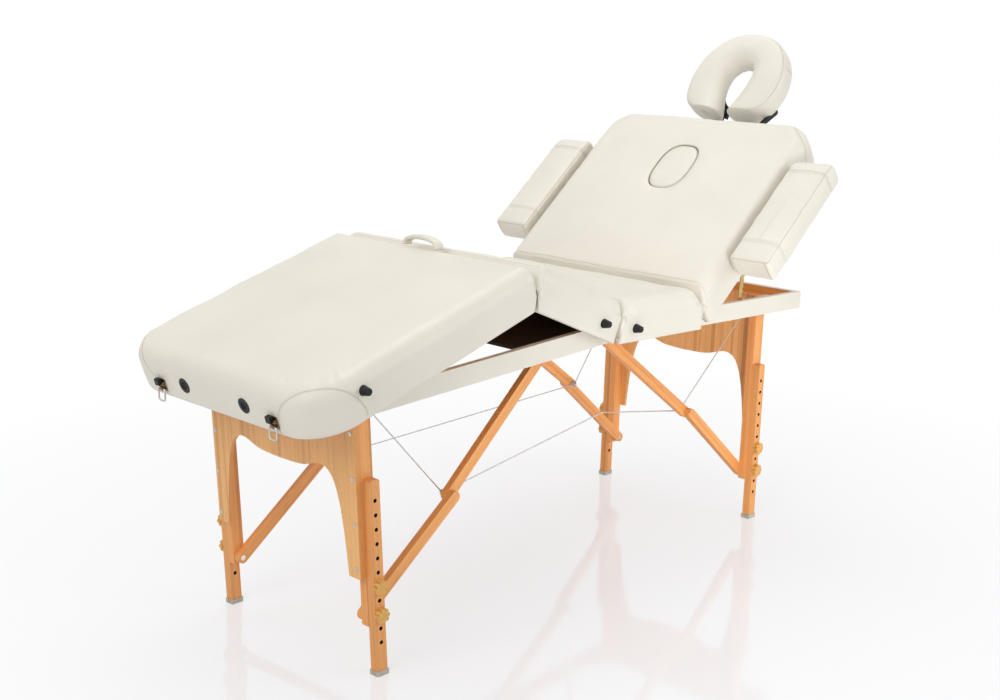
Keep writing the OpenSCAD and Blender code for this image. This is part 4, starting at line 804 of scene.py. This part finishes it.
class TABLE_OT_back_cushion(bpy.types.Operator):
    """Back section: long pad with the face opening and rounded head corners."""
    bl_idname = "table.back_cushion"
    bl_label = "Back cushion"

    def execute(self, context):
        at = places()
        calm = [(BACK, y, -2, 24) for y in (-BORE_Y, BORE_Y)]
        section_pad("back_cushion_soft", at["back"], "back_section", "back_cushion", 0, BACK,
                    9, 70, (math.radians(30.5), 0.0, 0.0, 0.0), (0.35, 0.75), 51, hole=HOLE,
                    arch=(40, 14, 96), calm=calm)
        return {"FINISHED"}


class TABLE_OT_face_plug(bpy.types.Operator):
    """Oval plug of the face opening: elliptic rings that swell to a low dome."""
    bl_idname = "table.face_plug"
    bl_label = "Face plug"

    def execute(self, context):
        at = places()
        a = np.linspace(0, 2 * math.pi, 120, endpoint=False)
        hx, hy, hl, hw = HOLE
        pts = []
        top = sizes().foam / MM
        profile = [(4.0, 1 - top), (4.0, -20), (4.0, -7), (4.5, -4), (5.8, -1.6), (8.2, 0.0),
                   (12, 1.2), (18, 2.0), (26, 2.5), (34, 2.7), (42, 2.8)]
        for d, z in profile:
            wob = waves(a * 60, np.full_like(a, z), 5, 5, 30, 90) * 0.25
            pts.append(np.concatenate([oval(hx, hy, hl - d, hw - d, a),
                                       (top + z + wob)[:, None]], 1))
        leather_object("face_plug_soft", at["back"](np.concatenate(pts) * MM),
                       ring_faces(len(pts), len(a)), "face_plug_body", "face_plug")
        return {"FINISHED"}


class TABLE_OT_knee_handle(bpy.types.Operator):
    """Padded grip over the knee: a flat arch of leather on half an oval path."""
    bl_idname = "table.knee_handle"
    bl_label = "Knee handle"

    def execute(self, context):
        at = places()
        ridge = at["leg"].turned((0.0, 0.047), math.radians(20.6))
        t = np.linspace(0, math.pi, 41)
        path = np.stack([np.zeros_like(t), 0.018 - 0.05 * np.cos(t),
                         0.004 + 0.020 * np.sin(t) ** 0.7], -1)
        tan = np.gradient(path, axis=0)
        tan /= np.linalg.norm(tan, axis=1)[:, None]
        a = np.linspace(0, 2 * math.pi, 24, endpoint=False)
        rings = []
        for p, d, u in zip(path, tan, t):
            n = np.array([0, -d[2], d[1]])
            cx = np.sign(np.cos(a)) * np.abs(np.cos(a)) ** 0.7
            cz = np.sign(np.sin(a)) * np.abs(np.sin(a)) ** 0.8
            fat = 0.0045 + 0.0012 * math.sin(u)
            rings.append(p + cx[:, None] * np.array([0.0125, 0, 0]) + cz[:, None] * fat * n)
        leather_object("knee_handle_soft", ridge(np.concatenate(rings)),
                       ring_faces(len(path), len(a)), "leg_section", "knee_handle")
        return {"FINISHED"}


def bezier(t, *points):
    """Cubic curve: each point weighed by its Bernstein share at t."""
    p0, p1, p2, p3 = np.array(points, float)
    t = t[:, None]
    return (1 - t) ** 3 * p0 + 3 * t * (1 - t) ** 2 * p1 + 3 * t ** 2 * (1 - t) * p2 + t ** 3 * p3


class TABLE_OT_headrest(bpy.types.Operator):
    """Face cradle: a horseshoe cushion between an inner and an outer cubic curve.

    Each section runs from a point of the inner curve to the matching point of the outer one
    and is a superellipse across, squarer outside than inside. A groove follows the upper
    outer edge, and gathers cross the inner wall as narrow bell curves along the sweep.
    """
    bl_idname = "table.headrest"
    bl_label = "Headrest cushion"

    def execute(self, context):
        at = places()
        thick = 36.5
        t = np.concatenate([[0, 0.003, 0.011, 0.024], np.linspace(0.042, 1, 86)])
        grow = np.concatenate([[0.62, 0.80, 0.92, 0.985], np.ones(86)])
        inner = bezier(t, (-117, 12), (-72, 16), (38, 78), (38, 0))
        outer = bezier(t, (-112, 84), (-108, 178), (132, 168), (132, 0))
        side = np.concatenate([np.ones(len(t)), -np.ones(len(t) - 1)])
        order = np.concatenate([np.arange(len(t)), np.arange(len(t) - 2, -1, -1)])
        inner, outer, grow, t = inner[order], outer[order], grow[order], t[order]
        inner[:, 1] *= side
        outer[:, 1] *= side
        mid, d = (inner + outer) / 2, (outer - inner) / 2
        arc = np.concatenate([[0], np.cumsum(np.linalg.norm(np.diff(mid, axis=0), axis=1))])
        n = 96
        b = np.linspace(0, 2 * math.pi, n, endpoint=False)
        sharp = 0.52 + 0.30 * np.clip(0.5 - np.cos(b) * 1.2, 0, 1)
        cx = np.sign(np.cos(b)) * np.abs(np.cos(b)) ** sharp
        cz = np.sign(np.sin(b)) * np.abs(np.sin(b)) ** sharp
        edge = np.arctan2(np.sin(b), np.cos(b))
        line = bell(edge - 0.60, 0.030)
        around, along = np.meshgrid(edge, arc)
        inside = np.clip((np.abs(around) - 1.9) / 0.5, 0, 1)
        far = bell(along - arc[-1] / 2, 75)
        folds = sum(bell(along - arc[-1] / 2 - q, 2.2) * h for q, h in (
            (-52, 0.6), (-38, 0.9), (-27, 0.6), (-15, 1.0), (-4, 0.7), (9, 1.0), (19, 0.7),
            (31, 0.9), (44, 0.6), (58, 0.5)))
        slit = bell(along - arc[-1] * 0.735, 1.6) * bell(around + 0.06, 0.30)
        push = (-1.6 * folds * inside
                + waves(along, around * 14, 71, 8, 14, 45) * 0.7 * inside * far
                + waves(along, around * 16, 72, 7, 70, 220) * 0.9
                - 1.5 * line[None, :] + 0.8 * bell(edge - 0.78, 0.07)[None, :] - 3.0 * slit)
        r = 1 + push / 48
        g = grow[:, None]
        dome = 1 + 0.05 * np.clip(cz, 0, 1) * (1 - np.abs(cx))
        verts = np.stack([mid[:, :1] + d[:, :1] * cx * g * r,
                          mid[:, 1:] + d[:, 1:] * cx * g * r + 7.0,
                          np.maximum(thick * cz * dome * g * r, -37.0)], -1)
        rim = bell(t * 250 - 4.5, 1.3)[:, None] * 0.25
        seam_and_shade = np.clip(line[None, :] * 0.7 + rim + slit, 0, 1).ravel()
        leather_object("headrest_cushion_soft", at["ring"](verts.reshape(-1, 3) * MM),
                       ring_faces(len(arc), n), "headrest_body", "headrest_cushion", seam_and_shade)
        return {"FINISHED"}


class TABLE_OT_armrests(bpy.types.Operator):
    """Two armrests: box cushions with piped ends, each on two steel pins."""
    bl_idname = "table.armrests"
    bl_label = "Armrests"

    def execute(self, context):
        at = places()
        for side, name in ((-1, "near"), (1, "far")):
            y = (-434, -328) if side < 0 else (328, 434)
            v, f, seam_and_shade = box_cushion(126, 466, y[0], y[1], -7, 57, 10, 8, 17, 80 + side)
            leather_object("armrest_%s_soft" % name, at["back"](v * MM), f,
                           "armrest_%s_body" % name, "armrest_" + name, seam_and_shade)
            for i, x in enumerate((196, 396)):
                path = [(x, side * yy, 20) for yy in np.linspace(242, 345, 6)]
                pv, pf = tube_along(at["back"](np.array(path) * MM), 8 * MM, 24)
                pin = mesh_object("armrest_%s_pin_%d" % (name, i), pv, pf, metal("steel"),
                                  "armrest_%s_body" % name)
        return {"FINISHED"}


class TABLE_OT_wood(bpy.types.Operator):
    """Wooden bars, boards and panels: beech with its grain along each bar."""
    bl_idname = "table.wood"
    bl_label = "Wooden pieces"

    def execute(self, context):
        at = places()
        for half in ("foot", "head"):
            along = at[half].ex
            up = at[half + "_leg"].ez
            across = at[half + "_leg"].ex

            def outer(c, n):
                return (np.abs(c[:, 1]) > 0.2672) & ~((np.abs(n[:, 1]) > 0.9)
                                                      & (np.abs(c[:, 1]) < 0.268))
            # The dark line across the rail leather at the fold is painted shade of the gap between
            # the two rail halves.
            fold = leather(((1.0, 0.0, 0.0), sizes().fold_x, 0.0018, 1.2))
            set_material(half + "_side_rails", (outer, fold), default=wood(*along))

            def wrapped(c, n, along=along, o=at[half].o):
                far = (c - o) @ along
                return (far > 0.70) & ((n[:, 2] > 0.9) | (n @ along > 0.9))
            set_material(half + "_cross_rails", (wrapped, leather()),
                         default=wood(0.0, 1.0, 0.0, 0.95, 1.2))
            set_material(half + "_upper_legs", default=wood(*up, 1.0))

            # Faces inside the bores of the lower legs take a dark brown as painted shade of the
            # holes.
            def bore_shade(c, n, leg=at[half + "_leg"]):
                inner = (c[:, 2] > 0.03) & (c[:, 2] < c[:, 2].max() - 0.012)
                return (np.abs(n[:, 1]) < 0.3) & (np.abs(leg.local(c)[:, 0]) < 0.012) & inner
            for s in ("near", "far"):
                set_material("lower_leg_%s_%s" % (half, s), (bore_shade, dull("bore_shade")),
                             default=wood(*up, 0.92))
                set_material("rubber_foot_%s_%s" % (half, s), default=dull("pale_rubber"))

            def edge(c, n, across=across):
                return np.abs(n @ across) < 0.5
            set_material("end_panel_" + half, (edge, ply_edge(*across)),
                         default=wood(*up, 1.0, 1.22))
            sx = 1 if half == "foot" else -1
            for w, tone in (("lower", 0.99), ("upper", 1.02)):
                low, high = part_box("%s_%s_braces" % (half, w))
                set_material("%s_%s_braces" % (half, w),
                             default=wood(sx * (high - low)[0], 0.0, (high - low)[2], tone))
            for w in ("upper", "lower"):
                set_material("%s_knobs_%s" % (half, w), default=dull("knob"))
        for name, ends in (("leg", (0,)), ("thigh", (0, THIGH)), ("seat", (SEAT,)), ("back", (0,))):

            def steel(c, n, p=at[name], ends=ends):
                q = p.local(c) / MM
                leaf = (np.abs(np.abs(q[:, 1]) - 120) < 25.2) & (q[:, 2] < 2.4)
                near = np.any([np.abs(q[:, 0] - x) < 30.2 for x in ends], axis=0)
                return (leaf & near) | ((q[:, 2] < -0.1) & (np.abs(q[:, 1]) > 200))
            set_material(name + "_board", (steel, metal("steel")), default=wood(0.0, 1.0, 0.0, 0.9))
        set_material("deck_board", default=dull("black_paint_and_shade"))
        return {"FINISHED"}


class TABLE_OT_fittings(bpy.types.Operator):
    """Metal, plastic and rubber fittings and the wire ropes."""
    bl_idname = "table.fittings"
    bl_label = "Fittings"

    def execute(self, context):
        at = places()
        for node in ("foot_hardware", "head_hardware", "foot_leg_screws", "head_leg_screws",
                     "foot_brace_eyes", "head_brace_eyes", "short_cables_foot",
                     "short_cables_head", "long_cables", "latch_rings"):
            set_material(node, default=metal("steel"))
        for node in ("leg_ratchets", "back_ratchets"):
            set_material(node, default=metal("gold"))
        set_material("headrest_frame", default=metal("aluminium"))
        set_material("latch_plates", default=metal("bronze"))
        for node in ("leg_grommets", "back_grommets", "cam_lever", "latch_levers"):
            set_material(node, default=dull("black_plastic"))
        set_material("headrest_platform", default=dull("black_paint_and_shade"))
        # Black discs in the mouths of the end bores are painted shade of the open holes.
        for place, x, body in (("leg", 601, "leg_section"), ("back", 586, "back_section")):
            for side in (-1, 1):
                path = [(x + d, side * BORE_Y, -2) for d in (0, 1, 2, 3)]
                v, f = tube_along(at[place](np.array(path) * MM), 8.6 * MM, 32)
                shade_disc = mesh_object("bore_end_%s_%d" % (place, side + 1), v, f, dull("black_paint_and_shade"),
                                  body)
        for node in ("leg_bumper", "thigh_bumper", "seat_bumper"):
            set_material(node, default=dull("black_rubber"))
        return {"FINISHED"}


class TABLE_OT_stage(bpy.types.Operator):
    """Pale glossy floor, soft lamps, white surroundings and the camera."""
    bl_idname = "table.stage"
    bl_label = "Stage"

    def execute(self, context):
        f = Finish("floor_finish", (0.94, 0.95, 0.98), 0.09, coat=1.0)
        f.set(("Specular IOR Level", 0.9), ("Coat Roughness", 0.05))
        away = f.node("VectorMath", {0: f.at}, "Value", operation="LENGTH")
        far = f.maths("MULTIPLY", away - 0.7, 0.8, clamp=True)
        seen = f.node("LightPath", {}, "Is Camera Ray")
        glow = f.ramp(far, (0.0, (0.975, 0.982, 1.0)), (1.0, (1, 1, 1)))
        glow = f.node("Emission", {0: glow})
        out = f.tree.nodes["Material Output"].inputs[0]
        body = Sock(f, f.tree.nodes["Principled BSDF"].outputs[0])
        f.feed(out, f.node("MixShader", {0: seen * (far * 0.45 + 0.55), 1: body, 2: glow}))
        mesh = bpy.data.meshes.new("floor")
        rim = [(-30, -30, 0), (30, -30, 0), (30, 30, 0), (-30, 30, 0)]
        mesh.from_pydata(rim, [], [(0, 1, 2, 3)])
        floor = bpy.data.objects.new("floor", mesh)
        bpy.context.scene.collection.objects.link(floor)
        mesh.materials.append(f.mat)
        world = bpy.data.worlds.new("surroundings")
        bpy.context.scene.world = world
        world.use_nodes = True
        world.node_tree.nodes.clear()
        net = Net(world.node_tree)
        rays = [net.node("LightPath", {}, "Is %s Ray" % kind)
                for kind in ("Camera", "Glossy", "Transmission")]
        direct = net.maths("MAXIMUM", net.maths("MAXIMUM", rays[0], rays[1]), rays[2])
        light = net.node("Background", {0: (1.0, 0.985, 0.95, 1), 1: 0.50})
        seen = net.node("Background", {0: (1, 1, 1, 1), 1: 1.0})
        out = net.tree.nodes.new("ShaderNodeOutputWorld")
        net.feed(out.inputs[0], net.node("MixShader", {0: direct, 1: light, 2: seen}))
        for name, at, size, power, target, angle in LAMPS:
            lamp = bpy.data.lights.new(name, "AREA")
            lamp.energy, lamp.size, lamp.spread = power, size, math.radians(angle)
            ob = bpy.data.objects.new(name, lamp)
            ob.location = at
            ob.rotation_euler = (Vector(target) - Vector(at)).to_track_quat("-Z", "Y").to_euler()
            bpy.context.scene.collection.objects.link(ob)
        cam = bpy.data.cameras.new("camera")
        cam.sensor_width = 36
        cam.lens = LENS
        ob = bpy.data.objects.new("camera", cam)
        m = Matrix((RIGHT, UP, -Vector(FORWARD))).transposed().to_4x4()
        m.translation = Vector((EYE[0] + sizes().fold_x, EYE[1], EYE[2]))
        ob.matrix_world = m
        bpy.context.scene.collection.objects.link(ob)
        bpy.context.scene.camera = ob
        bpy.context.scene.view_settings.view_transform = "Standard"
        return {"FINISHED"}


STEPS = ("leg_cushion", "thigh_cushion", "seat_cushion", "back_cushion", "face_plug",
         "knee_handle", "headrest", "armrests", "wood", "fittings", "stage")


class TABLE_PT_panel(bpy.types.Panel):
    """Sizes, colours and build steps in the sidebar."""
    bl_label = "Physiotherapy table"
    bl_idname = "TABLE_PT_panel"
    bl_space_type = "VIEW_3D"
    bl_region_type = "UI"
    bl_category = "Table"

    def draw(self, context):
        col = self.layout.column()
        for group in (context.scene.table_sizes, context.scene.table_colours):
            for key in group.__annotations__:
                col.prop(group, key)
        for step in STEPS:
            col.operator("table." + step)


CLASSES = (TableSizes, TableColours, TABLE_OT_leg_cushion, TABLE_OT_thigh_cushion,
           TABLE_OT_seat_cushion, TABLE_OT_back_cushion, TABLE_OT_face_plug,
           TABLE_OT_knee_handle, TABLE_OT_headrest, TABLE_OT_armrests, TABLE_OT_wood,
           TABLE_OT_fittings, TABLE_OT_stage, TABLE_PT_panel)


def register():
    for cls in CLASSES:
        bpy.utils.register_class(cls)
    bpy.types.Scene.table_sizes = bpy.props.PointerProperty(type=TableSizes)
    bpy.types.Scene.table_colours = bpy.props.PointerProperty(type=TableColours)


def unregister():
    del bpy.types.Scene.table_sizes
    del bpy.types.Scene.table_colours
    for cls in reversed(CLASSES):
        bpy.utils.unregister_class(cls)


def main():
    """Registers the add-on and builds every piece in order."""
    register()
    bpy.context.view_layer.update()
    for step in STEPS:
        getattr(bpy.ops.table, step)()


if __name__ == "__main__":
    main()
